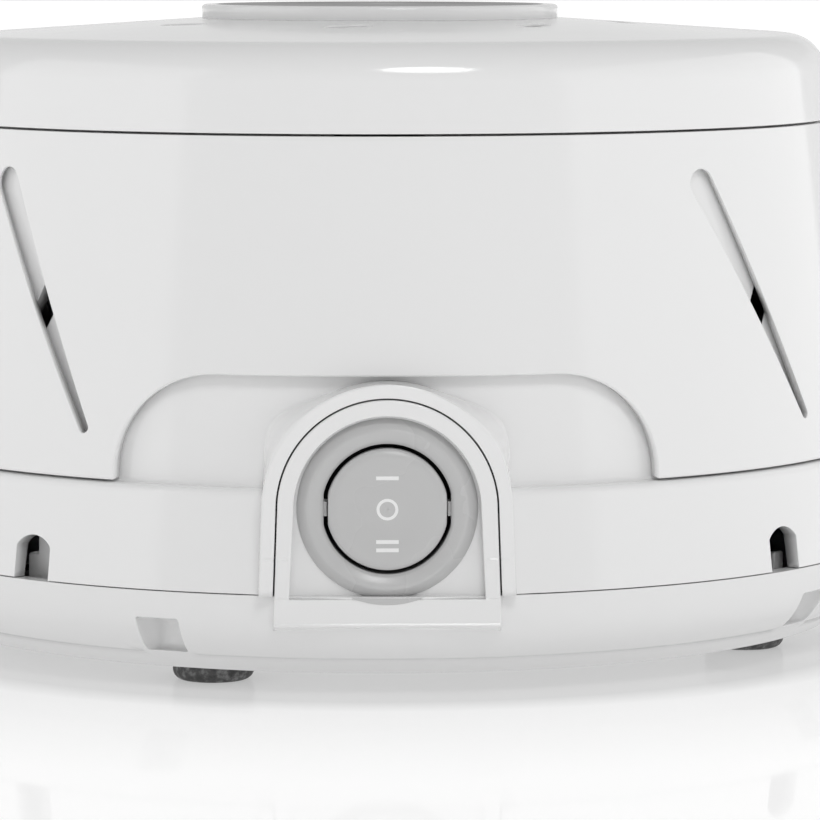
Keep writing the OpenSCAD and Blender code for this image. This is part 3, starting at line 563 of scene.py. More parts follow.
def make_finishes(tones):
    """Every finish, under the name that the operators call it by."""
    white, gloss = tuple(tones.body), tones.body_gloss
    skin, skin_size, drift = 0.0012 * MM, 0.4 * MM, 0.006
    FINISHES.update({
        "body": moulded_plastic("body_white", white, gloss, skin, skin_size, drift),
        "base": moulded_plastic("base_white", tone(white, 0.985), gloss, skin, skin_size, drift),
        "switch": moulded_plastic("switch_grey", tuple(tones.switch), 0.28, 0.008 * MM, 0.16 * MM, 0.02),
        "mark": moulded_plastic("mark_white", (0.86, 0.86, 0.86), 0.5, 0.004 * MM, 0.2 * MM),
        "plate": turned_metal("disc_silver", tuple(tones.plate), 0.42, 0.6 * MM, 0.004 * MM, 0.35),
        "foot": rubber("foot_rubber", tuple(tones.rubber)),
        "gland": rubber("gland_rubber", tone(tuple(tones.rubber), 0.7)),
        "nylon": moulded_plastic("nylon_black", (0.012, 0.012, 0.013), 0.45, 0.008 * MM, 0.3 * MM, 0.2),
        "brass": plain_metal("terminal_brass", (0.80, 0.62, 0.30), 0.28),
        "screw": plain_metal("screw_steel", (0.62, 0.61, 0.59), 0.3),
        "steel": plain_metal("plate_steel", (0.66, 0.67, 0.68), 0.36, 0.08),
        "lamination": banded_metal("lamination_steel", (0.24, 0.25, 0.27), (0.05, 0.05, 0.055), 0.5,
                                   0.5 * MM, "Z"),
        "copper": banded_metal("coil_copper", (0.72, 0.28, 0.11), (0.16, 0.05, 0.02), 0.32, 0.35 * MM, "X"),
        "bobbin": moulded_plastic("bobbin_nylon", (0.72, 0.68, 0.58), 0.4, 0.006 * MM, 0.3 * MM, 0.03),
        "aluminium": plain_metal("bracket_aluminium", (0.74, 0.75, 0.76), 0.34, 0.06),
        "bronze": plain_metal("bearing_bronze", (0.62, 0.42, 0.20), 0.35),
        "shaft": plain_metal("shaft_steel", (0.70, 0.71, 0.72), 0.16, 0.04),
        "fan": moulded_plastic("fan_plastic", (0.55, 0.56, 0.57), 0.3, 0.004 * MM, 0.4 * MM, 0.02),
    })


CAD_FINISHES = {
    "screw": ["housing_screws", "plate_screws", "bracket_screws", "motor_screws", "cap_pivot_screw",
              "cap_pivot_washer", "fan_clip"],
    "steel": ["motor_plate"],
    "lamination": ["stator_stack", "rotor_core"],
    "copper": ["coil", "shading_rings"],
    "bobbin": ["bobbin", "thrust_washer"],
    "aluminium": ["upper_bracket", "lower_bracket"],
    "bronze": ["upper_bearing", "lower_bearing"],
    "shaft": ["shaft"],
    "fan": ["fan_wheel"],
    "gland": ["motor_grommet_1", "motor_grommet_2"],
    "nylon": ["switch_base", "motor_lead"],
    "brass": ["switch_terminals", "lead_connector"],
}


# ---- sizes and colours that can be changed -------------------------------

def size(name, description, default):
    return FloatProperty(name=name, description=description, default=default, unit="LENGTH", precision=5)


def angle(name, description, default):
    return FloatProperty(name=name, description=description, default=math.radians(default), subtype="ANGLE")


class BodySizes(bpy.types.PropertyGroup):
    radius: size("Body radius", "Radius at the line between base and housing", BASE_HIGH.x)
    taper: FloatProperty(name="Taper", description="Radius lost for each metre of height", default=0.125)
    wall: size("Wall", "Wall of the base and the housing", 2.2 * MM)
    band_wall: size("Band wall", "Wall of the housing's band, seen in the windows", 1.85 * MM)
    thin_wall: size("Thin wall", "Wall of the collar, the drum and the deck", 1.8 * MM)
    thinning: size("Thinning", "How much thinner the collar's wall is at its top", 1.1 * MM)
    drum_gap: size("Drum gap", "Gap between the collar and the drum inside it", 0.4 * MM)
    edge: size("Edge", "Rounding of a moulded edge", 0.35 * MM)
    fine_edge: size("Fine edge", "Rounding of the edges of slots and of the cap and collar rims", 0.15 * MM)
    seam_edge: size("Seam edge", "Rounding of the edges along the housing line", 0.09 * MM)
    window_turn: angle("Window turn", "Turn of the first window from the switch", -41.1)
    window_width: size("Window width", "Width of a vent window", 6.1 * MM)
    window_side: size("Window side", "Height of a window's straight side", 4.4 * MM)
    window_rise: size("Window rise", "Rise of a window's arched top", 1.5 * MM)
    line_z: size("Housing line", "Height of the line between base and housing", 13.7 * MM)
    seam: size("Seam", "Gap along the housing line", 0.14 * MM)
    band_top: size("Band top", "Top of the housing's full-width band", COLLAR_LOW.z - 0.3 * MM)


class BaseSizes(bpy.types.PropertyGroup):
    foot_height: size("Foot height", "Height of the feet below the base", BASE_LOW.z)
    lip_radius: size("Lip radius", "Radius of the underside's edge", 64.6 * MM)
    lip_height: size("Lip height", "Height of the rolled lower edge", 2.1 * MM)
    flank_radius: size("Flank radius", "Radius of the rounded flank", 10 * MM)
    pocket_width: size("Pocket width", "Width of the pockets in the flank", 6.2 * MM)
    pocket_back: size("Pocket back", "Radius of the pockets' back wall", 65.8 * MM)
    pocket_top: size("Pocket top", "Height of the pockets' roof above the underside", 7.2 * MM)
    foot_radius: size("Foot radius", "Radius of a rubber foot", 5.4 * MM)


class CollarSizes(bpy.types.PropertyGroup):
    cut_half_width: size("Cut-out half width", "Half width of the front cut-out", 35.3 * MM)
    cut_height: size("Cut-out height", "Height of the front cut-out", 14.1 * MM)
    cut_corner: size("Cut-out corner", "Corner radius of the front cut-out", 13.2 * MM)
    slot_height: size("Slot height", "Height of a sound slot", 33.6 * MM)
    slot_rise: size("Slot rise", "Height of a slot's tip above the collar's edge", 5.9 * MM)
    slot_sweep: angle("Slot sweep", "Sweep of a slot round the body", 16.4)
    slot_top: size("Slot top", "Width of a slot at its upper end", 4.1 * MM)
    slot_tip: size("Slot tip", "Width of a slot at its lower tip", 1.35 * MM)
    slot_turn: angle("Slot turn", "Middle direction of the front pair of slots", 2.5)
    slot_spread: angle("Slot spread", "Half of the angle between that pair", 45.5)
    slot_lean: angle("Slot lean", "How far a slot is cut towards the front or rear", 24)
    drum_slot: size("Drum slot", "Width of the drum's slots", 3.5 * MM)
    drum_turn: angle("Drum slot turn", "Middle direction of the front pair of drum slots", 3.95)
    drum_spread: angle("Drum slot spread", "Half of the angle between that pair", 47)
    drum_lean: angle("Drum slot lean", "How far a drum slot is cut towards the front or rear", 38)


class CapSizes(bpy.types.PropertyGroup):
    shoulder: size("Shoulder", "Radius of the rounded shoulder", 5.7 * MM)
    cone_fall: FloatProperty(name="Cone fall", description="Fall of the cone for each metre of radius",
                             default=0.066)
    wall: size("Wall", "Wall of the cap", 2 * MM)
    vent_circle: size("Vent circle", "Radius of the circle of vents", 34 * MM)
    vent_width: size("Vent width", "Width of a vent", 2.8 * MM)
    vent_length: size("Vent length", "Length of a vent", 6.4 * MM)
    disc_round: size("Disc rounding", "Rounding of the disc's upper edge", 0.5 * MM)


class PanelSizes(bpy.types.PropertyGroup):
    arch: size("Arch", "Radius of the panel's arched top", 14.1 * MM)
    draft: FloatProperty(name="Draft", description="Widening for each metre down the arch", default=0.035)
    gap: size("Gap", "Gap between the panel and the boss round it", 0.2 * MM)
    boss: size("Boss", "Radius of the boss's flat face", 16.1 * MM)
    recess: size("Recess", "Radius of the recess that the bezel lies in", 12 * MM)
    recess_depth: size("Recess depth", "Depth of that recess", 1.8 * MM)
    ledge: size("Ledge", "Height of the recess's floor line", 13.4 * MM)
    pad_low: size("Pad low edge", "Height of the pad's lower edge", 9.8 * MM)
    lip: size("Lip", "How far the pad's lower edge stands proud", 0.15 * MM)


class SwitchSizes(bpy.types.PropertyGroup):
    opening: size("Opening", "Radius of the rocker's opening", 8.4 * MM)
    flat: size("Flat", "Depth of the flats on the sides of opening and rocker", 0.25 * MM)
    bar_width: size("Bar width", "Width of a bar mark", 2.9 * MM)
    bar_height: size("Bar height", "Height of a bar mark", 0.5 * MM)
    ring_radius: size("Ring radius", "Radius of the ring mark", 1.4 * MM)
    ring_width: size("Ring width", "Width of the ring mark's line", 0.4 * MM)


def grey(name, description, level):
    return FloatVectorProperty(name=name, description=description, subtype="COLOR", default=(level,) * 3)


class Tones(bpy.types.PropertyGroup):
    body: grey("Body", "Colour of the mouldings", 0.83)
    body_gloss: FloatProperty(name="Body roughness", description="Roughness of the mouldings", default=0.1)
    switch: grey("Switch", "Colour of the bezel and rocker", 0.53)
    plate: grey("Plate", "Colour of the disc's plate", 0.58)
    rubber: grey("Rubber", "Colour of the feet", 0.09)


class StageSettings(bpy.types.PropertyGroup):
    distance: size("Distance", "Distance from the camera to the body's axis", 680 * MM)
    rise: angle("Rise", "Height of the camera above the level", 4.96)
    swing: angle("Swing", "Turn of the camera from the switch", -0.76)
    lens: FloatProperty(name="Lens", description="Focal length in millimetres", default=210.07)
    aim_side: size("Aim side", "How far the view's middle lies right of the axis", 4.26 * MM)
    aim_height: size("Aim height", "Height of the view's middle", 30.6 * MM)
    room: FloatProperty(name="Room", description="Level of the even light of the room", default=0.47)
    key: FloatProperty(name="Key", description="Radiance of the key light", default=8.6)


GROUPS = {"body": BodySizes, "base": BaseSizes, "collar": CollarSizes, "cap": CapSizes, "panel": PanelSizes,
          "switch": SwitchSizes, "tones": Tones, "stage": StageSettings}


class MachineSettings(bpy.types.PropertyGroup):
    body: PointerProperty(type=BodySizes)
    base: PointerProperty(type=BaseSizes)
    collar: PointerProperty(type=CollarSizes)
    cap: PointerProperty(type=CapSizes)
    panel: PointerProperty(type=PanelSizes)
    switch: PointerProperty(type=SwitchSizes)
    tones: PointerProperty(type=Tones)
    stage: PointerProperty(type=StageSettings)


def settings():
    return bpy.context.scene.sound_machine


def shell_r(z):
    b = settings().body
    return b.radius - (z - b.line_z) * b.taper


def collar_wall(z):
    """The collar's wall, which thins towards its top."""
    b = settings().body
    return b.thin_wall - b.thinning * (z - COLLAR_LOW.z) / (COLLAR_HIGH.z - COLLAR_LOW.z)


def drum_r(z):
    return shell_r(z) - collar_wall(z) - settings().body.drum_gap


# ---- collar --------------------------------------------------------------

SLOT_MEAN = 0.95                                  # radius halfway up a slot, as a share of the body's
CUT_FOOT = 0.5 * MM                               # rounding where the cut-out meets the collar's lower edge
SIDE_LEAN = 0.4                                   # lean of the cut-out's side walls, as a share of the wall
LEAN_TURNS = math.radians(31), math.radians(37)   # turns from the switch between which that lean fades
LEAN_RISE = 18 * MM, 30 * MM                      # heights above the edge between which it fades
FLANGE_WALL, FLANGE_WIDTH = 1.4 * MM, 5 * MM      # the collar's inward flange at its top


def slot_loop(middle_z, length, tilt, top, tip, lean):
    """A tapering slot with round ends, as a clockwise loop of (distance across, height)."""
    y_top, y_tip = length / 2 - top / 2, -length / 2 + tip / 2
    upper = arc_points((0, y_top), top / 2, math.pi, 0, 18)
    lower = arc_points((0, y_tip), tip / 2, 0, -math.pi, 12)
    loop = fine_line(upper + lower, 1.2 * MM, closed=True)
    turn = lean * tilt
    return [(x * math.cos(turn) - y * math.sin(turn), middle_z + x * math.sin(turn) + y * math.cos(turn))
            for x, y in loop]


def cut_through(outer_r, inner_r, radius, turn, lean):
    """Where a slot's wall meets the inner skin, from where it meets the outer one."""
    way = turn - lean * math.sin(2 * turn)

    def across(u, v):
        x = outer_r(v) * math.sin(u / radius - way)
        return radius * (way + math.asin(x / inner_r(v))), v
    return across


def four_turns(middle, half):
    """A pair of turns at the front and the same pair at the rear."""
    return [middle + side * half + rear for rear in (0, math.pi) for side in (-1, 1)]


def wrap_turn(turn):
    """The same turn between half a turn back and half a turn on."""
    return (turn + math.pi) % math.tau - math.pi


def slot_place(z_low):
    """Length, tilt and middle height of the sound slots."""
    s, b = settings().collar, settings().body
    length = math.hypot(s.slot_height, s.slot_sweep * b.radius * SLOT_MEAN)
    return length, math.acos(s.slot_height / length), z_low + s.slot_rise + s.slot_height / 2


def cut_outline(low, radius):
    """The front cut-out as an open line of (arc length, height), from left to right."""
    s = settings().collar
    side, top, corner = s.cut_half_width, low + s.cut_height, s.cut_corner
    arch = ([(-side - CUT_FOOT, low)]
            + arc_points((-side - CUT_FOOT, low + CUT_FOOT), CUT_FOOT, -math.pi / 2, 0, 4)[1:]
            + arc_points((-side + corner, top - corner), corner, math.pi, math.pi / 2, 24)
            + arc_points((side - corner, top - corner), corner, math.pi / 2, 0, 24)
            + arc_points((side + CUT_FOOT, low + CUT_FOOT), CUT_FOOT, math.pi, 1.5 * math.pi, 4))
    return [(math.asin(x / shell_r(z)) * radius, z) for x, z in fine_line(arch, 1.2 * MM)]


class SOUNDMACHINE_OT_collar(bpy.types.Operator):
    """Adds the turning collar, with its front cut-out and four sound slots"""
    bl_idname = "sound_machine.collar"
    bl_label = "Collar"

    def execute(self, context):
        s, b = settings().collar, settings().body
        low, high = COLLAR_LOW.z, COLLAR_HIGH.z
        radius = shell_r(low)
        half = math.pi * radius
        flange = high - FLANGE_WALL
        outer = wrapped(lambda v: (shell_r(v), v), radius)

        def inner_r(z):
            return shell_r(z) - collar_wall(z)

        def inner(u, v):
            z = min(v, flange)
            a = u / radius
            near = 1 - smooth(*LEAN_TURNS, abs(a))
            near *= 1 - smooth(low + LEAN_RISE[0], low + LEAN_RISE[1], z)
            a += SIDE_LEAN * near * b.thin_wall / radius * math.sin(2 * a) / 2
            r = inner_r(z)
            return r * math.sin(a), -r * math.cos(a), z

        arch = cut_outline(low, radius)
        lower = (fine_line([(-half, low), arch[0]], 2.2 * MM)[:-1] + arch
                 + fine_line([arch[-1], (half, low)], 2.2 * MM)[1:])
        turns = [half - 2 * half * k / TURNS for k in range(TURNS + 1)]
        length, tilt, middle = slot_place(low)
        slot = slot_loop(middle, length, tilt, s.slot_top, s.slot_tip, 1)

        shell = Shell()
        skin_low = shell.edge(outer, inner, lower, b.edge, closed=False)
        skin_slots, inner_slots = [], []
        for turn in map(wrap_turn, four_turns(s.slot_turn, s.slot_spread)):
            across = cut_through(shell_r, inner_r, radius, turn, s.slot_lean)
            loop = [(radius * (turn + math.asin(x / shell_r(z))), z) for x, z in slot]
            skin_slots.append(shell.edge(outer, lambda u, v: inner(*across(u, v)), loop, b.fine_edge))
            inner_slots.append([across(*q) for q in loop])

        # the rounded rim at the top and the flange inside it
        edge, side = b.fine_edge, math.atan(b.taper)
        tangent_z = high - edge * (1 - math.sin(side))
        centre = (shell_r(tangent_z) - edge * math.cos(side), high - edge)
        rim = arc_points(centre, edge, side, math.pi / 2, 3)
        hole_r = drum_r(flange) - FLANGE_WIDTH
        shell.turned(rim + [(hole_r, high), (hole_r, flange), (inner_r(flange), flange)])

        levels = spread(low + 2 * MM, high - 1 * MM, 15)
        skin = panel_loop(skin_low, [(u, tangent_z) for u in turns], levels, half)
        shell.fill(outer, [skin] + skin_slots, 2.3 * MM, levels)
        levels = spread(low + 3 * MM, flange - 2 * MM, 9)
        lining = panel_loop(lower, [(u, flange) for u in turns], levels, half)
        shell.fill(inner, [lining] + inner_slots, 4 * MM, levels, exact=False)
        shell.build("turning_collar", FINISHES["body"], "collar", ["collar"])
        return {"FINISHED"}


# ---- cap and disc --------------------------------------------------------

CAP_LOW = COLLAR_HIGH.z + 0.3 * MM    # the cap's lower edge
CONE_TOP = DISC_HIGH.z - 1.9 * MM     # the cone's height at the disc's foot
SHOULDER_ROWS = 26                    # rows of corners over the shoulder
VENT_COUNT = 8
VENT_START, VENT_SLANT = math.radians(-8), math.radians(25)


def shoulder_centre():
    """Centre of the shoulder's arc, tangent to the tapered side and to the cone."""
    c, b = settings().cap, settings().body
    side = Vector((1, b.taper)).normalized()
    cone = Vector((c.cone_fall, 1)).normalized()
    side_d = side.dot(Vector((shell_r(CAP_LOW), CAP_LOW))) - c.shoulder
    cone_d = cone.dot(Vector((DISC_HIGH.x, CONE_TOP))) - c.shoulder
    det = side.x * cone.y - side.y * cone.x
    return ((side_d * cone.y - cone_d * side.y) / det, (side.x * cone_d - cone.x * side_d) / det)


class SOUNDMACHINE_OT_cap(bpy.types.Operator):
    """Adds the turning cap: a shallow cone with a rounded shoulder and eight vents"""
    bl_idname = "sound_machine.cap"
    bl_label = "Cap"

    def execute(self, context):
        c, b = settings().cap, settings().body
        centre = shoulder_centre()
        side_turn, cone_turn = math.atan(b.taper), math.pi / 2 - math.atan(c.cone_fall)
        rim_r = centre[0] + c.shoulder * math.cos(cone_turn)

        def cone(r):
            """The cone's height; it is level where the disc hides it."""
            return CONE_TOP - (max(r, DISC_HIGH.x - 0.4 * MM) - DISC_HIGH.x) * c.cone_fall

        def top(x, y):
            return x, y, cone(math.hypot(x, y))

        def under(x, y):
            return x, y, cone(math.hypot(x, y)) - c.wall

        circle = [(x, y) for x, y, z in ring(rim_r, 0)[:-1]]
        vents = [self.vent(VENT_START + math.tau * k / VENT_COUNT) for k in range(VENT_COUNT)]
        shell = Shell()
        skin_vents = [shell.edge(top, under, loop, 0.3 * MM) for loop in vents]
        shell.fill(top, [circle] + skin_vents, 2.2 * MM)
        shell.fill(under, [circle] + vents, 4 * MM, exact=False)

        # from the cone over the shoulder, down the side, round the rim and up inside
        edge = b.fine_edge
        tangent_z = CAP_LOW + edge * (1 + math.sin(side_turn))
        corner = (shell_r(tangent_z) - edge * math.cos(side_turn), CAP_LOW + edge)
        profile = [(rim_r, cone(rim_r))]
        profile += arc_points(centre, c.shoulder, cone_turn, side_turn, SHOULDER_ROWS)[1:]
        profile += fine_line([profile[-1], (shell_r(tangent_z), tangent_z)], 1.6 * MM)[1:]
        straight = len(profile)
        profile += arc_points(corner, edge, side_turn, -math.pi / 2, 4)[1:]
        profile += [(shell_r(CAP_LOW) - c.wall, CAP_LOW)]
        profile += arc_points(centre, c.shoulder - c.wall, side_turn, cone_turn, 10)[:-1]
        profile += [(rim_r, cone(rim_r) - c.wall)]
        rows = []
        for k, (r, z) in enumerate(profile):
            row = ring(r, z)
            if k < straight:
                turn = cone_turn + (side_turn - cone_turn) * min(k / SHOULDER_ROWS, 1)
                row = [(p, (math.cos(turn) * math.sin(a), -math.cos(turn) * math.cos(a), math.sin(turn)))
                       for p, a in zip(row, spread(-math.pi, math.pi, TURNS))]
            rows.append(row)
        shell.rows(rows)
        shell.build("turning_cap", FINISHES["body"], "cap", ["cap"])
        self.add_pivot(CONE_TOP - c.wall)
        return {"FINISHED"}

    def vent(self, turn):
        """One vent's outline in the cap, set slantwise on the circle of vents."""
        c = settings().cap
        end_r = c.vent_width / 2
        half = (c.vent_length - c.vent_width) / 2
        loop = (arc_points((half, 0), end_r, math.pi / 2, -math.pi / 2, 10)
                + arc_points((-half, 0), end_r, -math.pi / 2, -1.5 * math.pi, 10))
        across, along = c.vent_circle * math.sin(turn), -c.vent_circle * math.cos(turn)
        a = turn + VENT_SLANT
        return [(across + x * math.cos(a) - y * math.sin(a), along + x * math.sin(a) + y * math.cos(a))
                for x, y in fine_line(loop, 0.8 * MM, closed=True)]

    def add_pivot(self, roof_z):
        """The boss under the cap that turns on the pivot screw."""
        foot_z, deck_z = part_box("cap_pivot_washer")[1].z, HOUSING_HIGH.z + 0.3 * MM
        root_z = roof_z + 0.5 * MM
        bore, foot_r, boss_r, bevel = 1.55 * MM, 4 * MM, 6.5 * MM, 0.3 * MM
        shell = Shell()
        shell.turned([(bore, foot_z), (foot_r - bevel, foot_z), (foot_r, foot_z + bevel), (foot_r, deck_z),
                      (boss_r - bevel, deck_z), (boss_r, deck_z + bevel), (boss_r, root_z), (bore, root_z)],
                     closed=True)
        shell.build("cap_pivot", FINISHES["body"], "cap", ["cap"])


class SOUNDMACHINE_OT_disc(bpy.types.Operator):
    """Adds the raised disc on the cap and the thin metal plate let into it"""
    bl_idname = "sound_machine.disc"
    bl_label = "Disc and plate"

    def execute(self, context):
        c = settings().cap
        top, r = DISC_HIGH.z, DISC_HIGH.x
        plate_r = PLATE_HIGH.x
        pocket = top - 0.4 * MM
        sink, gap, bevel, edge = 0.05 * MM, 0.1 * MM, 0.02 * MM, 0.12 * MM
        disc = Shell()
        profile = [(AXIS, CONE_TOP - sink), (r - 3 * sink, CONE_TOP - sink), (r - sink, CONE_TOP + sink)]
        profile += arc_points((r - c.disc_round, top - c.disc_round), c.disc_round, 0, math.pi / 2, 8)
        profile += [(plate_r + gap + bevel, top), (plate_r + gap, top - bevel), (plate_r + gap, pocket),
                    (AXIS, pocket)]
        disc.turned(profile, closed=True)
        disc.build("cap_disc_white", FINISHES["body"], "cap", ["cap_disc"])
        plate = Shell()
        plate_z = pocket + 0.01 * MM
        profile = [(AXIS, plate_z), (plate_r - bevel, plate_z)]
        profile += arc_points((plate_r - edge, top - edge), edge, 0, math.pi / 2, 4)
        profile += [(plate_r - 3 * MM, top), (AXIS, top)]
        plate.turned(profile, closed=True)
        plate.build("disc_metal_plate", FINISHES["plate"], "cap", ["disc_plate"])
        return {"FINISHED"}


# ---- housing: band, drum, deck and boss ----------------------------------

BAND_ROUND, DRUM_FOOT = 1.2 * MM, 0.75 * MM    # roundings of the band's shoulder and of the drum's foot
DECK_TOP = HOUSING_HIGH.z - 1.2 * MM           # the deck's upper face
DECK_LOW = HOUSING_HIGH.z - 3 * MM             # and its lower one
BOSS_FACE_Y = BASE_LOW.y + 0.14 * MM           # the boss's flat face
BOSS_BACK_Y = -62 * MM                         # how far back the wall beside the panel reaches
BOSS_FOOT = 0.12 * MM                          # how far the boss's foot stands outside its face
BOSS_FLARE = 2.4 * MM                          # how much further it stands out beside the crown
CROWN_R, CROWN_TURN = 17 * MM, math.radians(24)
CROWN_LOW, CROWN_HIGH = 34 * MM, 41 * MM       # heights between which the flare fades out
BOSS_SHARES = 0.12, 0.25, 0.38, 0.5, 0.6, 0.7, 0.78, 0.86, 0.93, 1.0
GLAND_Z = 18.7 * MM                            # height of the cord's hole
GLAND_NOTCH = 4.2 * MM                         # radius of the notch round the gland


def arch_loop(radius, foot_z, step=0.9 * MM, draft=None):
    """An open arch outline in (x, z), up the left side, over the top and down the right side."""
    slope = settings().panel.draft if draft is None else draft
    foot = radius + (SWITCH_Z - foot_z) * slope
    count = max(12, math.ceil(math.pi * radius / step))
    over = arc_points((0, SWITCH_Z), radius, math.pi, 0, count)
    left, right = fine_line([(-foot, foot_z), over[0]], step), fine_line([over[-1], (foot, foot_z)], step)
    return left[:-1] + over + right[1:]


def arch_distance(x, z):
    """How far a point lies from the arch's middle: its radius round the switch, or its width below it."""
    if z >= SWITCH_Z:
        return math.hypot(x, z - SWITCH_Z)
    return abs(x) - (SWITCH_Z - z) * settings().panel.draft


def housing_profiles():
    """The housing's outline over the band's shoulder and up the drum, and the inner one."""
    b = settings().body
    low, step_z, top = b.line_z + b.seam / 2, b.band_top, HOUSING_HIGH.z
    side = math.atan(b.taper)
    tangent = math.tan((math.pi / 2 - side) / 2)
    edge_r = shell_r(step_z)
    centre = (edge_r - BAND_ROUND * tangent, step_z - BAND_ROUND)
    start = (centre[0] + BAND_ROUND * math.cos(side), centre[1] + BAND_ROUND * math.sin(side))
    outer = Profile(shell_r(low), low).line(*start).arc(centre, BAND_ROUND, side, math.pi / 2)
    wall_r = drum_r(step_z)
    foot_r = wall_r + DRUM_FOOT * tangent
    outer.line(foot_r, step_z)
    corner = outer.length
    outer.arc((foot_r, step_z + DRUM_FOOT), DRUM_FOOT, 1.5 * math.pi, math.pi + side)
    outer.line(drum_r(top), top)
    inner = Profile(shell_r(low) - b.band_wall, low).line(edge_r - b.band_wall, step_z - b.wall - 1 * MM)
    first = inner.length
    inner.line(wall_r - b.thin_wall, step_z - b.wall)
    inner_corner = inner.length
    inner.line(drum_r(DECK_LOW) - b.thin_wall, DECK_LOW)
    shoulder = outer.parts[1][0]
    level = (step_z - b.wall - 2.5 * MM - low) / math.cos(side)
    pairs = [(0, 0), (level, level), (shoulder, first), (corner, inner_corner), (outer.length, inner.length)]
    return outer, inner, pairs


def drum_length(outer, z):
    """The length along the housing's outline at which its drum stands at a height."""
    start, size, _, a, b = outer.parts[-1]
    return start + size * (z - a[1]) / (b[1] - a[1])


class SOUNDMACHINE_OT_housing(bpy.types.Operator):
    """Adds the housing: the band with its windows, the slotted drum, the deck and the switch's boss"""
    bl_idname = "sound_machine.housing"
    bl_label = "Housing"

    def execute(self, context):
        b, s = settings().body, settings().collar
        low = b.line_z + b.seam / 2
        outer_line, inner_line, pairs = housing_profiles()
        radius = shell_r(low)
        half = math.pi * radius
        outer = wrapped(outer_line, radius)
        inner = wrapped(stretched(inner_line, pairs), radius)
        shell = Shell()

        # the lower edge, with four windows, the boss and, at the rear, the notch round the gland
        boss = self.boss_foot(outer_line, radius, low)
        windows = [self.window(b.window_turn + k * math.pi / 2, radius, low) for k in (-1, 0, 1, 2)]
        gland = self.gland_notch(low)
        chain = [(-half + u, v) for u, v in gland]
        for piece in (*windows[:2], boss, *windows[2:], [(half - u, v) for u, v in reversed(gland)]):
            chain += fine_line([chain[-1], piece[0]], 2.2 * MM)[1:-1]
            if piece is boss:
                first, last = len(chain), len(chain) + len(boss)
            chain += piece
        radii = [0.0 if first <= k < last else b.seam_edge for k in range(len(chain))]
        skin_low = shell.edge(outer, inner, chain, radii, steps=2, closed=False)

        # the boss has a wall of its own, so the one that the edge made there goes
        boss_wall = {shell.corner(place(*q)) for place in (outer, inner) for q in chain[first:last]}
        shell.faces = [f for f in shell.faces if not set(f) <= boss_wall]
        self.add_boss(shell, outer, inner, chain[first:last])

        length, tilt, middle = slot_place(COLLAR_LOW.z)
        slot = slot_loop(middle, length, tilt, s.drum_slot, s.drum_slot, -1)
        skin_slots, inner_slots = [], []
        for turn in map(wrap_turn, four_turns(s.drum_turn, s.drum_spread)):
            across = cut_through(lambda v: outer_line(v)[0], lambda v: outer_line(v)[0] - b.thin_wall,
                                 radius, turn, s.drum_lean)
            loop = [(radius * (turn + math.asin(x / drum_r(z))), drum_length(outer_line, z))
                    for x, z in slot]
            skin_slots.append(shell.edge(outer, lambda u, v: inner(*across(u, v)), loop,
                                         b.fine_edge, steps=2))
            inner_slots.append([across(*q) for q in loop])

        upper = [(half - 2 * half * k / TURNS, outer_line.length) for k in range(TURNS + 1)]
        levels = outer_line.levels(2.6 * MM)[1:-1]
        shell.fill(outer, [panel_loop(skin_low, upper, levels, half)] + skin_slots, 2.3 * MM, levels)
        coarse = [v for v in levels if v < pairs[3][0]] + levels[-12::2]
        inside_loop = panel_loop(chain, upper, coarse, half)
        shell.fill(inner, [inside_loop] + inner_slots, 4 * MM, coarse, exact=False)
        self.add_deck(shell)
        shell.build("housing_moulding", FINISHES["body"], "root", ["housing"])
        self.add_inside()
        return {"FINISHED"}

    def boss_foot(self, outer_line, radius, low):
        """The boss's outline where it leaves the band and the drum: up the left side, over and down."""
        b, p = settings().body, settings().panel

        def reach(z):
            flare = BOSS_FLARE * smooth(b.band_top + 0.3 * MM, b.band_top + 9 * MM, z)
            return p.boss + BOSS_FOOT + flare * (1 - smooth(CROWN_LOW, CROWN_HIGH, z))

        rows = [v for v in outer_line.levels(1.2 * MM) if abs(v + low - TICK_Z) > 0.5 * MM]
        left = []
        for v in sorted(rows + [z - low for z in TICK_ROWS]):
            r, z = outer_line(v)
            width = reach(z)
            if z > SWITCH_Z + width * math.sin(CROWN_TURN):
                break
            x = width + (SWITCH_Z - z) * p.draft
            if z >= SWITCH_Z:
                x = math.sqrt(width ** 2 - (z - SWITCH_Z) ** 2)
            left.append((-math.asin(x / r) * radius, v))
            start = math.atan2(z - SWITCH_Z, x)
        crown = []
        for turn in spread(math.pi - start, start, 52)[1:-1]:
            width = reach(SWITCH_Z + CROWN_R * math.sin(turn))
            x, z = width * math.cos(turn), SWITCH_Z + width * math.sin(turn)
            crown.append((math.asin(x / drum_r(z)) * radius, drum_length(outer_line, z)))
        return left + crown + [(-u, v) for u, v in reversed(left)]

    def window(self, turn, radius, low):
        """A vent window's outline, with straight sides and an arched top."""
        b = settings().body
        half = b.window_width / 2
        dome = (half ** 2 + b.window_rise ** 2) / (2 * b.window_rise)
        lean = math.asin(half / dome)
        dome_z = b.line_z + b.window_side + b.window_rise - dome
        roof = arc_points((0, dome_z), dome, math.pi / 2 + lean, math.pi / 2 - lean, 14)
        points = fine_line([(-half, low)] + roof + [(half, low)], 0.8 * MM)
        return [(turn * radius + u, v - low) for u, v in points]

    def gland_notch(self, low):
        """One side of the arched notch round the gland, from its top down."""
        arch = arc_points((0, GLAND_Z), GLAND_NOTCH, math.pi / 2, 0, 12)
        return [(u, v - low) for u, v in fine_line(arch + [(GLAND_NOTCH + 0.15 * MM, low)], 0.9 * MM)]

    def add_deck(self, shell):
        """The drum's rim and the deck, with its bore, eight wedge-shaped vents and the stop's slot."""
        b = settings().body
        top = HOUSING_HIGH.z
        top_r, low_r = drum_r(DECK_TOP) - b.thin_wall, drum_r(DECK_LOW) - b.thin_wall
        shell.turned([(drum_r(top), top), (drum_r(top) - b.thin_wall, top), (top_r, DECK_TOP)])

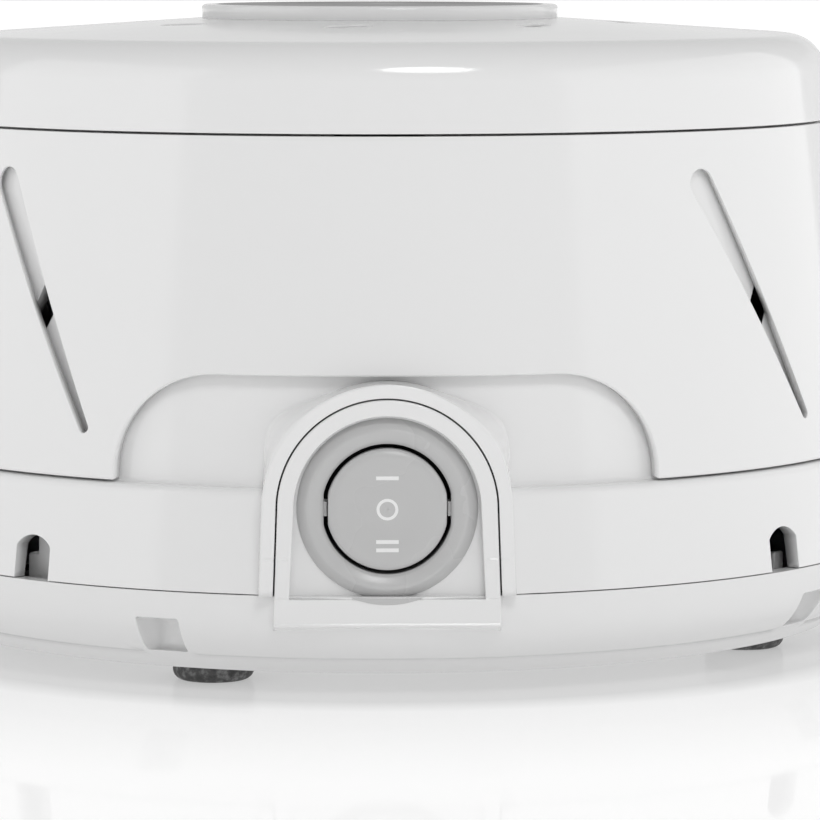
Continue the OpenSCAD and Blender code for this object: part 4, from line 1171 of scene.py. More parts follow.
        def wedge(r0, r1, turn, wide, counts):
            outline = arc_points((0, 0), r1, turn + wide, turn - wide, counts[0])
            outline += arc_points((0, 0), r0, turn - wide, turn + wide, counts[1])
            return fine_line(outline, 1.6 * MM, closed=True)

        holes = [circle_points((0, 0), 8.5 * MM, 48, -1)]
        for k in range(VENT_COUNT):
            turn = VENT_START - math.pi / 2 + math.tau * k / VENT_COUNT
            holes.append(wedge(28 * MM, 41 * MM, turn, math.radians(11.25), (14, 10)))
        stop_r, stop_w = low_r - 10.3 * MM, 2 * MM
        holes.append(wedge(stop_r - stop_w, stop_r + stop_w, math.pi / 2, math.radians(22.6), (20, 20)))

        def deck_top(x, y):
            return x, y, DECK_TOP

        def deck_under(x, y):
            return x, y, DECK_LOW

        for loop in holes:
            shell.rows([[deck_top(*q) for q in loop], [deck_under(*q) for q in loop]], closed=True)
        for place, r in ((deck_top, top_r), (deck_under, low_r)):
            outline = [(x, y) for x, y, z in ring(r, 0)[:-1]]
            shell.fill(place, [outline] + holes, 4 * MM, exact=False)

    def add_boss(self, shell, outer, inner, foot):
        """Lofts the boss from its outline on the housing to the flat face and in to the panel's gap."""
        b, p = settings().body, settings().panel
        gap = p.arch + p.gap
        feet = [outer(*q) for q in foot]
        start = [arch_distance(x, z) for x, y, z in feet]
        columns = range(len(foot))

        def side_y(x, z):
            """The band's or drum's own surface behind a point."""
            step = smooth(b.band_top - 0.9 * MM, b.band_top + 0.35 * MM, z)
            r = shell_r(z) * (1 - step) + drum_r(z) * step
            return -math.sqrt(r * r - x * x)

        def at(k, distance):
            """The point of column k at a distance from the arch's middle."""
            x, _, z = feet[k]
            if z < SWITCH_Z:
                return math.copysign(distance + (SWITCH_Z - z) * p.draft, x), z
            turn = math.atan2(z - SWITCH_Z, x)
            return distance * math.cos(turn), SWITCH_Z + distance * math.sin(turn)

        rows = [feet]
        for share in BOSS_SHARES:
            weight = smooth(0.0, 1.0, share)
            spots = [at(k, start[k] + (p.boss - start[k]) * share) for k in columns]
            rows.append([(x, side_y(x, z) * (1 - weight) + BOSS_FACE_Y * weight, z) for x, z in spots])
        edge = 0.22 * MM
        rim = gap + edge
        for distance in (p.boss - 0.3 * MM, rim + 1.1 * MM, rim + 0.8 * MM, rim + 0.4 * MM, rim):
            spots = [at(k, distance) for k in columns]
            rows.append([(x, BOSS_FACE_Y + witness(x, z), z) for x, z in spots])
        for turn in spread(0, math.pi / 2, 3)[1:]:
            distance = gap + edge * (1 - math.sin(turn))
            y = BOSS_FACE_Y + edge * (1 - math.cos(turn))
            rows.append([(x, y, z) for x, z in (at(k, distance) for k in columns)])
        rows.append([(x, BOSS_BACK_Y, z) for x, z in (at(k, gap) for k in columns)])
        rows.append([inner(*q) for q in foot])
        lines = shell.rows(rows)
        shell.face([line[0] for line in lines])
        shell.face([line[-1] for line in lines])

    def add_inside(self):
        """Screw posts, the plate's lugs and the hub, all inside the housing."""
        b = settings().body
        plate_low, plate_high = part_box("motor_plate")
        bevel = 0.2 * MM
        post_circle, lug_circle = b.radius - 13 * MM, plate_high.y - 5.1 * MM
        rods = [(post_circle, 45 + 90 * k, 3.6 * MM, 7.2 * MM, b.band_top - 1 * MM) for k in range(4)]
        rods += [(lug_circle, a, 3.4 * MM, plate_low.z - 6 * MM, plate_low.z) for a in (70, 180, 290)]
        shell = Shell()
        for circle, degrees, r, z0, z1 in rods:
            a = math.radians(degrees)
            middle = (circle * math.sin(a), -circle * math.cos(a))
            profile = [(AXIS, z0), (r - bevel, z0), (r, z0 + bevel),
                       (r, z1 - bevel), (r - bevel, z1), (AXIS, z1)]
            rows = [[(x, y, z) for x, y in circle_points(middle, rod_r, 24)] for rod_r, z in profile]
            shell.rows(rows + rows[:1], closed=True)
        hub_r, bore, bevel = 9 * MM, 4.06 * MM, 0.3 * MM
        top, low = HOUSING_HIGH.z, HOUSING_HIGH.z - 4.5 * MM
        shell.turned([(bore, low), (hub_r - bevel, low), (hub_r, low + bevel), (hub_r, top - bevel),
                      (hub_r - bevel, top), (bore, top)], closed=True)
        shell.build("housing_posts_and_hub", FINISHES["body"], "root", ["housing"])


# ---- base ----------------------------------------------------------------

SEAT_R = 50 * MM                               # how far out the base's flat floor reaches
LIP_ROUND, FLOOR_WALL = 0.7 * MM, 2.2 * MM
POCKET_TURNS = -25.1, 55.5, 155.2, -124.5      # degrees from the front to each pocket's middle
RIB_SET, RIB_WALL = 2.2 * MM, 1.4 * MM
RIBS = (-4.7, -2.8, 0.4, 0.7, 4.0), (3.3, 4.3, 5.5, -0.3, -0.3)   # in mm: sides, step and both tops


class SOUNDMACHINE_OT_base(bpy.types.Operator):
    """Adds the base tray with its rolled edge, pockets and spigot ribs, and its four feet"""
    bl_idname = "sound_machine.base"
    bl_label = "Base and feet"

    def execute(self, context):
        b, s = settings().body, settings().base
        low, high = s.foot_height, b.line_z - b.seam / 2
        centre = (b.radius - s.flank_radius, b.line_z - 0.5 * MM)
        turn = -math.asin((centre[1] - low - s.lip_height) / s.flank_radius)
        crease = (centre[0] + s.flank_radius * math.cos(turn), centre[1] + s.flank_radius * math.sin(turn))
        fold = (crease[0] - 0.25 * MM, crease[1])
        lip_turn = math.atan2(fold[0] - s.lip_radius, fold[1] - low)
        lip_r = s.lip_radius - LIP_ROUND * math.tan((math.pi / 2 - lip_turn) / 2)
        outer_line = Profile(SEAT_R, low).line(lip_r, low)
        outer_line.arc((lip_r, low + LIP_ROUND), LIP_ROUND, -math.pi / 2, -lip_turn)
        outer_line.line(*fold).line(*crease)
        flank_start = outer_line.length
        outer_line.arc(centre, s.flank_radius, turn, 0)
        edge = b.seam_edge
        outer_line.line(b.radius, high - edge)
        outer_line.arc((b.radius - edge, high - edge), edge, 0, math.pi / 2)
        outer_line.line(b.radius - b.wall, high)
        floor_z = low + FLOOR_WALL
        behind = s.pocket_back - 0.6 * MM
        wall_r = b.radius - b.wall
        inner_line = [(wall_r, high), (wall_r, high - 2 * MM), (behind, high - 3.2 * MM),
                      (behind, floor_z + 3.4 * MM), (centre[0] + 1 * MM, floor_z), (SEAT_R, floor_z)]

        radius = b.radius
        half = math.pi * radius
        outer = wrapped(outer_line, radius)

        def pocket_back(u, v):
            r, z = outer_line(v)
            a = u / radius
            return s.pocket_back * math.sin(a), -s.pocket_back * math.cos(a), z

        def pocket_wall(turn):
            """The wall facing the switch leans, so that the pocket narrows towards its back."""
            def back(u, v):
                share = 0.5 - (u / radius - turn) * radius / s.pocket_width
                side = min(1, max(0, share if turn < 0 else 1 - share))
                return pocket_back(u + math.copysign(1.3 * MM * side, -turn), v)
            return back

        def flank_length(z):
            return flank_start + s.flank_radius * (math.asin((z - centre[1]) / s.flank_radius) - turn)

        shell = Shell()
        pockets = []
        v0, v1 = flank_length(low + s.lip_height + 0.4 * MM), flank_length(low + s.pocket_top)
        w, c = s.pocket_width / 2, 0.35 * MM
        for degrees in POCKET_TURNS:
            u = math.radians(degrees) * radius
            loop = (arc_points((u - w + c, v0 + c), c, -math.pi / 2, -math.pi, 3)
                    + arc_points((u - w + c, v1 - c), c, math.pi, math.pi / 2, 3)
                    + arc_points((u + w - c, v1 - c), c, math.pi / 2, 0, 3)
                    + arc_points((u + w - c, v0 + c), c, 0, -math.pi / 2, 3))
            loop = fine_line(loop, 0.7 * MM, closed=True)
            back = pocket_wall(math.radians(degrees))
            pockets.append(shell.edge(outer, back, loop, 0.2 * MM, steps=3))
            shell.fill(back, [loop], 1.5 * MM, exact=False)
        lower = [(-half + 2 * half * k / TURNS, 0.0) for k in range(TURNS + 1)]
        upper = [(u, outer_line.length) for u, v in reversed(lower)]
        levels = outer_line.levels(1.6 * MM, math.radians(4))[1:-1]
        shell.fill(outer, [panel_loop(lower, upper, levels, half)] + pockets, 2.3 * MM, levels)
        shell.turned(inner_line)
        outline = [(x, y) for x, y, z in ring(SEAT_R, 0)[:-1]]
        for z in (low, floor_z):
            shell.fill(lambda x, y: (x, y, z), [outline], 6 * MM, exact=False)
        shell.build("base_moulding", FINISHES["base"], "root", ["base_tray"])
        self.add_ribs()
        self.add_feet()
        return {"FINISHED"}

    def add_ribs(self):
        """Low ribs behind the windows."""
        b = settings().body
        face_r = b.radius - b.wall - RIB_SET
        z0, top, corner = b.line_z - 1.5 * MM, b.line_z + 2.1 * MM, 0.5 * MM
        shell = Shell()
        for k in range(4):
            turn = b.window_turn + k * math.pi / 2

            def front(x, z, r=face_r, turn=turn):
                return r * math.sin(turn) + x * math.cos(turn), -r * math.cos(turn) + x * math.sin(turn), z

            def back(x, z, turn=turn):
                return front(x, z, face_r - RIB_WALL, turn)

            x0, x1, x2, rise1, rise2 = (v * MM for v in RIBS[k % 2])
            z1, z2 = top + rise1, top + rise2
            loop = [(x0, z0), (x2, z0)] + arc_points((x2 - corner, z2 - corner), corner, 0, math.pi / 2, 4)
            loop += [(x1, z2), (x1, z1)] if z2 > z1 else []
            loop += arc_points((x0 + corner, z1 - corner), corner, math.pi / 2, math.pi, 4)
            loop = fine_line(loop, 0.5 * MM, closed=True)
            skin = shell.edge(front, back, loop, 0.25 * MM)
            shell.fill(front, [skin], 0.6 * MM)
            shell.fill(back, [loop], 0.6 * MM, exact=False)
        shell.build("window_ribs", FINISHES["base"], "root", ["base_tray"])

    def add_feet(self):
        s = settings().base
        r, h = s.foot_radius, s.foot_height
        stem, dimple = 2.4 * MM, 0.25 * MM
        for k in range(4):
            name = f"rubber_foot_{k + 1}"
            lowest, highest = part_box(name)
            middle = ((lowest.x + highest.x) / 2, (lowest.y + highest.y) / 2)
            profile = [(AXIS, dimple), (r * 0.45, dimple), (r * 0.5, 0.02 * MM), (r - 1.5 * MM, 0.0)]
            profile += arc_points((r - 1.4 * MM, 1.4 * MM), 1.4 * MM, math.radians(-86), 0, 9)
            profile += [(r, h - 0.35 * MM), (r - 0.15 * MM, h - 0.05 * MM), (stem, h),
                        (stem, highest.z - 0.2 * MM), (stem - 0.2 * MM, highest.z), (AXIS, highest.z)]
            shell = Shell()
            rows = [[(x, y, z) for x, y in circle_points(middle, row_r, 48)] for row_r, z in profile]
            shell.rows(rows + rows[:1], closed=True)
            shell.build(f"foot_pad_{k + 1}", FINISHES["foot"], "root", [name])


# ---- switch panel --------------------------------------------------------

TICK_Z = 18.45 * MM                            # height of the witness lines
TICK_RISE, TICK_WIDTH = 0.14 * MM, 0.2 * MM
TICK_ROWS = spread(TICK_Z - 0.4 * MM, TICK_Z + 0.4 * MM, 12)
PANEL_WALL, PAD_RISE = 3.2 * MM, 0.1 * MM
PAD_SLOPE = 3                                  # how fast the face falls back under the lip
BARREL_R, BARREL_HOLE = 9.99 * MM, 10.1 * MM   # the switch's barrel and its hole in the panel


def witness(x, z):
    """A short raised line across the gap at each side of the panel."""
    arch, x = settings().panel.arch, abs(x)
    across = smooth(arch - 1.4 * MM, arch - 1.2 * MM, x) * (1 - smooth(arch + 1.3 * MM, arch + 1.5 * MM, x))
    return -TICK_RISE * across * math.exp(-((z - TICK_Z) / TICK_WIDTH) ** 2)


class SOUNDMACHINE_OT_panel(bpy.types.Operator):
    """Adds the arched switch panel and the pad below it, which belong to the base"""
    bl_idname = "sound_machine.panel"
    bl_label = "Switch panel"

    def execute(self, context):
        p = settings().panel
        face_y = BASE_LOW.y + p.lip
        low = p.pad_low - 2 * MM
        floor_y = face_y + p.recess_depth
        back_y = face_y + PANEL_WALL
        lip_z = p.pad_low + 0.15 * MM

        def front(x, z):
            """The face, the pad's proud upper edge and lip, and the slope under the lip."""
            y = face_y - p.lip * (1 - smooth(lip_z, lip_z + 0.4 * MM, z))
            upper = 1 - smooth(p.ledge - 0.04 * MM, p.ledge + PAD_RISE, z)
            y -= PAD_RISE * upper * smooth(lip_z, p.ledge, z)
            if z < p.pad_low:
                y += (p.pad_low - z) * PAD_SLOPE
            return x, y + witness(x, z), z

        def back(x, z):
            return x, back_y, z

        def floor(x, z):
            return x, floor_y, z

        arch = arch_loop(p.arch, low, 0.8 * MM)
        outline = list(reversed(arch)) + fine_line([arch[0], arch[-1]], 0.8 * MM)[1:-1]
        recess = arch_loop(p.recess, p.ledge, 0.6 * MM, draft=0.05)
        hole = recess + list(reversed(fine_line([recess[0], recess[-1]], 0.6 * MM)[1:-1]))
        fine = spread(p.pad_low - 0.16 * MM, p.pad_low + 0.64 * MM, 10) + TICK_ROWS
        fine += spread(p.ledge - 0.1 * MM, p.ledge + 0.16 * MM, 5)
        levels = spread(low + 0.3 * MM, SWITCH_Z + p.arch - 0.5 * MM, 56)
        levels = sorted([v for v in levels if min(abs(v - f) for f in fine) > 0.1 * MM] + fine)
        outline, hole = crossed(outline, fine), crossed(hole, fine)
        shell = Shell()
        skin = shell.edge(front, back, outline, 0.25 * MM)
        skin_hole = shell.edge(front, floor, hole, 0.22 * MM)
        shell.fill(front, [skin, skin_hole], 0.5 * MM, levels, clear=0.4)
        barrel = circle_points((0, SWITCH_Z), BARREL_HOLE, 96, -1)
        shell.fill(floor, [list(reversed(hole)), barrel], 1.2 * MM)
        shell.rows([[floor(*q) for q in barrel], [back(*q) for q in barrel]], closed=True)
        shell.fill(back, [outline, barrel], 2.5 * MM, exact=False)
        shell.build("switch_panel", FINISHES["base"], "root", ["base_tray"])
        return {"FINISHED"}


# ---- switch --------------------------------------------------------------

SWITCH_SEGMENTS = 160
BEZEL_CREST, BEZEL_LIP = 10.2 * MM, 0.25 * MM         # the bezel's highest ring and its inner rounding
DISH_R, DISH_DEPTH = 7.85 * MM, 0.4 * MM
ROCKER_GAP, ROCKER_EDGE = 0.55 * MM, 1.3 * MM
BAR_RISES = 4.05 * MM, -4.15 * MM, -5.2 * MM          # from the switch's middle to the bars of I and II


def switch_rows(shell, profile, half_flat, floor_z=-math.inf):
    """Rows round the switch's own axis from (radius, y) points, cut flat at both sides and below floor_z."""
    rows = []
    for r, y in profile:
        row = []
        for k in range(SWITCH_SEGMENTS):
            a = math.tau * k / SWITCH_SEGMENTS
            reach = min(r, half_flat(r) / max(abs(math.cos(a)), 1e-6))
            if math.sin(a) < -1e-6:
                reach = min(reach, (SWITCH_Z - floor_z) / -math.sin(a))
            row.append((reach * math.cos(a), y, SWITCH_Z + reach * math.sin(a)))
        rows.append(row)
    shell.rows(rows + rows[:1], closed=True)


class SOUNDMACHINE_OT_switch(bpy.types.Operator):
    """Adds the round rocker switch: dished bezel, rocker and its marks"""
    bl_idname = "sound_machine.switch"
    bl_label = "Rocker switch"

    def execute(self, context):
        p, s = settings().panel, settings().switch
        face_y, back_y, r_out = BEZEL_LOW.y, BEZEL_HIGH.y, BEZEL_HIGH.x
        lip_r = s.opening + BEZEL_LIP
        profile = [(BARREL_R, face_y + 1.75 * MM), (r_out - 0.05 * MM, face_y + 1.75 * MM),
                   (r_out, face_y + 1.7 * MM), (r_out, face_y + 1.6 * MM)]
        for k, r in enumerate(spread(r_out, lip_r, 16)):
            if r > BEZEL_CREST:
                drop = 1.5 * MM * ((r - BEZEL_CREST) / (r_out - BEZEL_CREST)) ** 1.15
            else:
                drop = 0.8 * MM * ((BEZEL_CREST - r) / (BEZEL_CREST - s.opening)) ** 1.5
            profile.append((r - (0.06 * MM if k == 0 else 0), face_y + drop))
        profile += arc_points((lip_r, face_y + 1.02 * MM), BEZEL_LIP, -math.pi / 2, -math.pi, 4)[1:]
        profile += [(s.opening, face_y + 2.6 * MM), (s.opening, back_y), (BARREL_R, back_y)]

        def half_flat(r):
            """The flats beside the rocker fade out over the bezel's inner slope."""
            return r - s.flat * (1 - smooth(s.opening, s.opening + 0.9 * MM, r))

        shell = Shell()
        switch_rows(shell, profile, half_flat, p.ledge + 0.05 * MM)
        shell.build("switch_bezel_ring", FINISHES["switch"], "root", ["switch_bezel"])
        # a grey sheet painted as shade and reflection below the bezel
        self.add_painted_shade_crescent()
        self.add_rocker()
        self.add_marks()
        self.add_pivots()
        return {"FINISHED"}

    def add_painted_shade_crescent(self):
        """A thin sheet in the switch grey over the pad's upper edge below the bezel: painted shade and
        reflection of the bezel there.
        """
        p = settings().panel
        face_y = BASE_LOW.y
        reach, top = p.recess + 0.2 * MM, p.ledge + 0.12 * MM
        turn = math.acos((SWITCH_Z - top) / reach)
        loop = arc_points((0, SWITCH_Z), reach, -math.pi / 2 - turn, -math.pi / 2 + turn, 40)
        loop = loop + fine_line([loop[-1], loop[0]], 0.25 * MM)[1:-1]

        def front(x, z):
            return x, face_y, z

        def back(x, z):
            return x, face_y + 1.2 * MM, z

        shell = Shell()
        shell.fill(front, [loop], 0.2 * MM)
        shell.rows([[front(*q) for q in loop], [back(*q) for q in loop]], closed=True)
        shell.fill(back, [loop], 0.4 * MM, exact=False)
        # the grey sheet is painted shade and reflection, not part of the bezel
        shell.build("painted_shade_crescent", FINISHES["switch"], "root", ["switch_bezel"])

    def dish(self, x, z):
        """How far the rocker's face lies behind its rim."""
        r = math.hypot(x, z - SWITCH_Z)
        return DISH_DEPTH * (1 - smooth(DISH_R * 0.3, DISH_R * 0.84, r))

    def add_rocker(self):
        s = settings().switch
        face_y = ROCKER_LOW.y
        rim = s.opening - ROCKER_GAP
        face_r = rim - ROCKER_EDGE
        profile = [(r, face_y + self.dish(r, SWITCH_Z)) for r in spread(AXIS, face_r, 20)[:-1]]
        profile += [(face_r + ROCKER_EDGE * math.sin(a), face_y + 0.75 * MM * (1 - math.cos(a)))
                    for a in spread(0, math.pi / 2, 10)]
        profile += [(rim, face_y + 2 * MM), (rim - 0.3 * MM, face_y + 2.3 * MM), (AXIS, face_y + 2.3 * MM)]
        shell = Shell()
        switch_rows(shell, profile, lambda r: rim - s.flat)
        shell.build("rocker_button", FINISHES["switch"], "rocker", ["rocker"])

        pivot_y, reach = face_y + 3 * MM, ROCKER_HIGH.x
        pin_r, bevel = 1.1 * MM, 0.2 * MM
        sides = [(-reach, AXIS), (-reach, pin_r - bevel), (-reach + bevel, pin_r)]
        rows = []
        for x, r in sides + [(-x, r) for x, r in reversed(sides)]:
            rows.append([(x, pivot_y + dy, SWITCH_Z + dz) for dy, dz in circle_points((0, 0), r, 24)])
        shell = Shell()
        shell.rows(rows + rows[:1], closed=True)
        shell.build("rocker_pins", FINISHES["switch"], "rocker", ["rocker"])

    def add_marks(self):
        s = settings().switch
        face_y = ROCKER_LOW.y
        shell = Shell()

        def front(x, z):
            return x, face_y + self.dish(x, z) - 0.02 * MM, z

        def back(x, z):
            return x, face_y + self.dish(x, z) + 0.2 * MM, z

        marks = []
        for rise in BAR_RISES:
            z, w, h = SWITCH_Z + rise, s.bar_width / 2, s.bar_height / 2
            bar = [(-w, z - h), (w, z - h), (w, z + h), (-w, z + h)]
            marks.append([fine_line(bar, 0.25 * MM, closed=True)])
        middle, hole_r = (0, SWITCH_Z), s.ring_radius - s.ring_width
        marks.append([circle_points(middle, s.ring_radius, 64), circle_points(middle, hole_r, 64, -1)])
        for loops in marks:
            skins = [shell.edge(front, back, loop, 0.03 * MM, steps=2) for loop in loops]
            shell.fill(front, skins, 0.25 * MM)
            shell.fill(back, loops, 0.5 * MM, exact=False)
        shell.build("rocker_white_marks", FINISHES["mark"], "rocker", ["rocker_marks"])

    def add_pivots(self):
        """The two bearing blocks that show in the gap beside the rocker."""
        s = settings().switch
        face_y = BEZEL_LOW.y + 1.3 * MM
        x0, x1, h = s.opening - s.flat - 0.42 * MM, s.opening + 0.5 * MM, 0.95 * MM

        def front(x, z):
            return x, face_y, z

        def back(x, z):
            return x, face_y + 1.2 * MM, z

        shell = Shell()
        for side in (-1, 1):
            points = [(side * x0, SWITCH_Z - h), (side * x1, SWITCH_Z - h),
                      (side * x1, SWITCH_Z + h), (side * x0, SWITCH_Z + h)]
            if side < 0:
                points.reverse()
            loop = fine_line(points, 0.3 * MM, closed=True)
            skin = shell.edge(front, back, loop, 0.12 * MM)
            shell.fill(front, [skin], 0.4 * MM)
            shell.fill(back, [loop], 0.4 * MM, exact=False)
        shell.build("pivot_blocks", FINISHES["switch"], "root", ["switch_bezel"])


# ---- gland ---------------------------------------------------------------

class SOUNDMACHINE_OT_gland(bpy.types.Operator):
    """Adds the rubber cord gland in the rear of the band"""
    bl_idname = "sound_machine.gland"
    bl_label = "Cord gland"

    def execute(self, context):
        p = settings().panel
        low = GLAND_LOW.z
        neck, flange, bore = 4.1 * MM, 5.0 * MM, 2.8 * MM
        face_y, back_y = GLAND_HIGH.y, GLAND_LOW.y

        shell = Shell()
        hole = circle_points((0, GLAND_Z), bore, 48, -1)
        for r, y0, y1 in ((neck, back_y + 0.01 * MM, face_y), (flange, back_y, back_y + 2.5 * MM)):
            foot = r + (GLAND_Z - low) * p.draft
            outline = arc_points((0, GLAND_Z), r, 0, math.pi, 30) + [(-foot, low), (foot, low)]

            def front(x, z, y1=y1):
                return x, y1, z

            def back(x, z, y0=y0):
                return x, y0, z

            skins = [shell.edge(front, back, outline, 0.35 * MM), shell.edge(front, back, hole, 0.5 * MM)]
            shell.fill(front, skins, 0.8 * MM)
            shell.fill(back, [outline, hole], 1.2 * MM, exact=False)
        shell.build("cord_grommet", FINISHES["gland"], "root", ["cord_gland"])
        return {"FINISHED"}


# ---- finishes on the carried-over parts ----------------------------------

class SOUNDMACHINE_OT_finishes(bpy.types.Operator):
    """Makes every finish and puts them on the parts that keep their own meshes"""
    bl_idname = "sound_machine.finishes"
    bl_label = "Finishes"

    def execute(self, context):
        make_finishes(settings().tones)
        for finish, names in CAD_FINISHES.items():
            for name in names:
                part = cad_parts[name]
                part.data.materials.clear()
                part.data.materials.append(FINISHES[finish])
        return {"FINISHED"}


# ---- stage ---------------------------------------------------------------

FLOOR_GLOW, FLOOR_GLOSS, FLOOR_ROUGHNESS = 0.47, 0.16, 0.04
# painted contact shadow and reflection under the body: the floor's tone is darkest within the body's radius
# and rises just outside it
FLOOR_SHADOW_TONES = (0.071, 0.36), (0.077, 0.66), (0.125, 0.82)      # (metres from the middle, tone)
LIGHT_AIM, CAMERA_AIM = Vector((0, 0, 0.05)), Vector((0, 0, 39.85 * MM))
LIGHT_DISTANCE = 1.2


def direction(turn, rise):
    """The unit direction at a turn from the front and a rise over the floor."""
    return Vector((math.sin(turn) * math.cos(rise), -math.cos(turn) * math.cos(rise), math.sin(rise)))


class SOUNDMACHINE_OT_stage(bpy.types.Operator):
    """Adds the floor, the lights, the room and the camera"""
    bl_idname = "sound_machine.stage"
    bl_label = "Stage"

    def execute(self, context):
        scene = bpy.context.scene
        scene.view_settings.view_transform = "Standard"
        self.add_floor()
        self.add_room(scene)
        self.add_lights()
        self.add_camera(scene)
        return {"FINISHED"}

    def add_floor(self):
        work = bmesh.new()
        bmesh.ops.create_grid(work, x_segments=24, y_segments=24, size=6)
        mesh = bpy.data.meshes.new("floor")
        work.to_mesh(mesh)
        work.free()
        floor = bpy.data.objects.new("floor", mesh)
        bpy.context.scene.collection.objects.link(floor)
        finish = bpy.data.materials.new("floor_white")
        finish.use_nodes = True
        tree = finish.node_tree
        tree.nodes.clear()
        out = tree.nodes.new("ShaderNodeOutputMaterial")
        diffuse = tree.nodes.new("ShaderNodeBsdfDiffuse")
        gloss = tree.nodes.new("ShaderNodeBsdfGlossy")
        gloss.inputs["Roughness"].default_value = FLOOR_ROUGHNESS
        glow = tree.nodes.new("ShaderNodeEmission")
        glow.inputs["Strength"].default_value = FLOOR_GLOW
        blend = tree.nodes.new("ShaderNodeMixShader")
        blend.inputs["Fac"].default_value = FLOOR_GLOSS
        both = tree.nodes.new("ShaderNodeAddShader")
        way = tree.nodes.new("ShaderNodeVectorMath")
        way.operation = "LENGTH"
        tree.links.new(object_place(tree), way.inputs[0])
        # the floor's tone near the middle is painted shadow and reflection of the base's underside
        near = colours(tree, way.outputs["Value"], *[(at, (tint,) * 3) for at, tint in FLOOR_SHADOW_TONES])
        far = between(tree, way.outputs["Value"], 1.0, 2.2, 0.2, 1.5)
        level = tree.nodes.new("ShaderNodeMath")
        level.operation = "MULTIPLY"
        tree.links.new(near, level.inputs[0])
        tree.links.new(far, level.inputs[1])
        tree.links.new(level.outputs[0], diffuse.inputs["Color"])
        tree.links.new(diffuse.outputs[0], both.inputs[0])
        tree.links.new(glow.outputs[0], both.inputs[1])
        tree.links.new(both.outputs[0], blend.inputs[1])
        tree.links.new(gloss.outputs[0], blend.inputs[2])
        tree.links.new(blend.outputs[0], out.inputs["Surface"])
        mesh.materials.append(finish)

    def add_room(self, scene):
        """Even light all round; what a glossy surface mirrors is brightest at and below eye level."""
        s = settings().stage
        world = bpy.data.worlds.new("white_room")
        world.use_nodes = True
        scene.world = world
        tree = world.node_tree
        tree.nodes.clear()
        out = tree.nodes.new("ShaderNodeOutputWorld")
        back = tree.nodes.new("ShaderNodeBackground")
        split = tree.nodes.new("ShaderNodeSeparateXYZ")
        tree.links.new(tree.nodes.new("ShaderNodeTexCoord").outputs["Generated"], split.inputs[0])
        start, end = math.sin(math.radians(10.5)), math.sin(math.radians(14))
        mirrored = between(tree, split.outputs["Z"], 1.0, 0.9, start, end)
        path = tree.nodes.new("ShaderNodeLightPath")

        def pick(fac, a, b):
            node = tree.nodes.new("ShaderNodeMix")
            node.data_type = "FLOAT"
            tree.links.new(fac, node.inputs["Factor"])
            for socket, value in (("A", a), ("B", b)):
                if isinstance(value, float):
                    node.inputs[socket].default_value = value
                else:
                    tree.links.new(value, node.inputs[socket])
            return node.outputs["Result"]

        level = pick(path.outputs["Is Glossy Ray"], s.room, mirrored)
        level = pick(path.outputs["Is Camera Ray"], level, 1.0)
        level = pick(path.outputs["Is Transmission Ray"], level, 1.0)
        tree.links.new(level, back.inputs["Strength"])
        tree.links.new(back.outputs[0], out.inputs["Surface"])

    def add_panel(self, name, turn, rise, wide, high, radiance, shape="RECTANGLE"):
        """A soft panel in a direction from the object, by its angular size and radiance."""
        w, h = (2 * LIGHT_DISTANCE * math.tan(math.radians(angle) / 2) for angle in (wide, high))
        lamp = bpy.data.lights.new(name, "AREA")
        lamp.shape = shape
        lamp.size, lamp.size_y = w, h
        lamp.energy = radiance * w * h * math.pi * (math.pi / 4 if shape == "ELLIPSE" else 1)
        made = bpy.data.objects.new(name, lamp)
        way = direction(math.radians(turn), math.radians(rise))
        made.location = LIGHT_AIM + way * LIGHT_DISTANCE
        made.rotation_euler = (-way).to_track_quat("-Z", "Y").to_euler()
        made.visible_camera = False
        bpy.context.scene.collection.objects.link(made)

    def add_lights(self):
        s = settings().stage
        self.add_panel("key_panel", 13, 43.3, 20, 15, s.key, shape="ELLIPSE")
        self.add_panel("right_panel", 90, 12, 86, 60, 0.7)
        self.add_panel("left_panel", -80, 12, 60, 60, 0.8)

    def add_camera(self, scene):
        s = settings().stage
        lens = bpy.data.cameras.new("camera")
        lens.sensor_width = 36
        lens.lens = s.lens
        lens.clip_start = 0.05
        camera = bpy.data.objects.new("camera", lens)
        right = Vector((math.cos(s.swing), math.sin(s.swing), 0))
        camera.location = CAMERA_AIM + direction(s.swing, s.rise) * s.distance
        aim = Vector((0, 0, s.aim_height)) + right * s.aim_side
        camera.rotation_euler = (aim - camera.location).to_track_quat("-Z", "Y").to_euler()
        bpy.context.scene.collection.objects.link(camera)
        scene.camera = camera


# ---- add-on --------------------------------------------------------------

OPERATORS = [SOUNDMACHINE_OT_finishes, SOUNDMACHINE_OT_stage, SOUNDMACHINE_OT_base, SOUNDMACHINE_OT_housing,
             SOUNDMACHINE_OT_panel, SOUNDMACHINE_OT_switch, SOUNDMACHINE_OT_gland, SOUNDMACHINE_OT_collar,
             SOUNDMACHINE_OT_cap, SOUNDMACHINE_OT_disc]


class SOUNDMACHINE_PT_panel(bpy.types.Panel):
    """Lists the pieces of the sound machine"""
    bl_idname = "SOUNDMACHINE_PT_panel"
    bl_label = "Sound Machine"
    bl_space_type = "VIEW_3D"
    bl_region_type = "UI"
    bl_category = "Sound Machine"

    def draw(self, context):
        for operator in OPERATORS:
            self.layout.operator(operator.bl_idname)
        for group in GROUPS:
            box = self.layout.box()
            box.label(text=group.title())
            values = getattr(context.scene.sound_machine, group)
            for name in values.bl_rna.properties.keys():
                if name not in ("rna_type", "name"):
                    box.prop(values, name)


CLASSES = [*GROUPS.values(), MachineSettings, *OPERATORS, SOUNDMACHINE_PT_panel]


def register():
    for item in CLASSES:
        bpy.utils.register_class(item)
    bpy.types.Scene.sound_machine = PointerProperty(type=MachineSettings)


def unregister():
    del bpy.types.Scene.sound_machine
    for item in reversed(CLASSES):
        bpy.utils.unregister_class(item)


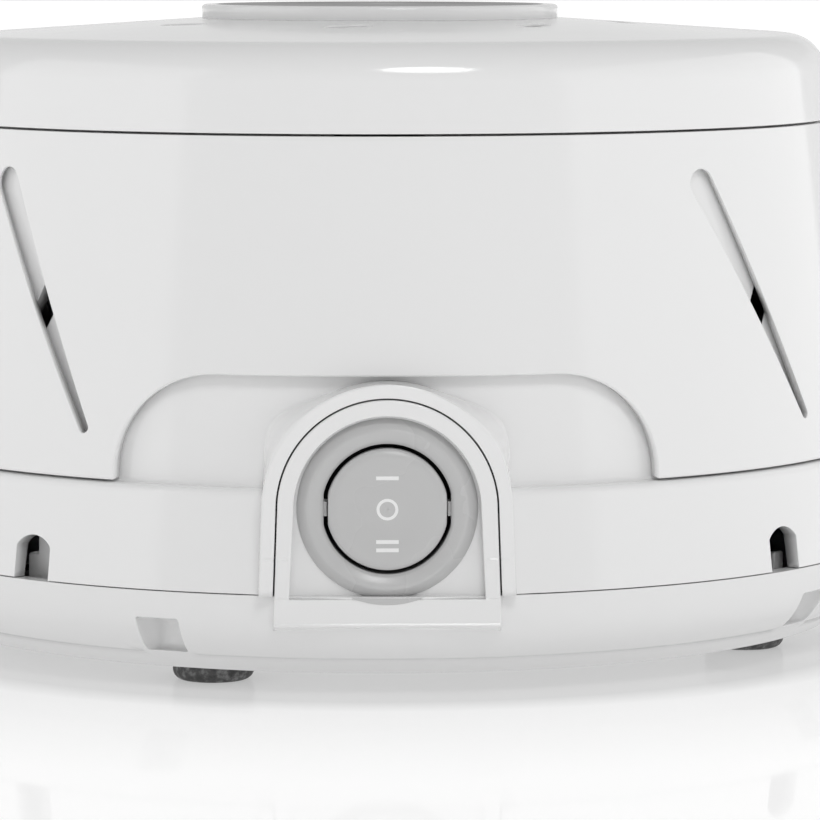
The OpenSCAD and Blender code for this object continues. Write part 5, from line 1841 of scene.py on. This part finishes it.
def main():
    register()
    steps = bpy.ops.sound_machine
    steps.finishes()
    steps.stage()
    steps.base()
    steps.housing()
    steps.panel()
    steps.switch()
    steps.gland()
    steps.collar()
    steps.cap()
    steps.disc()
    bpy.context.view_layer.update()


if __name__ == "__main__":
    main()
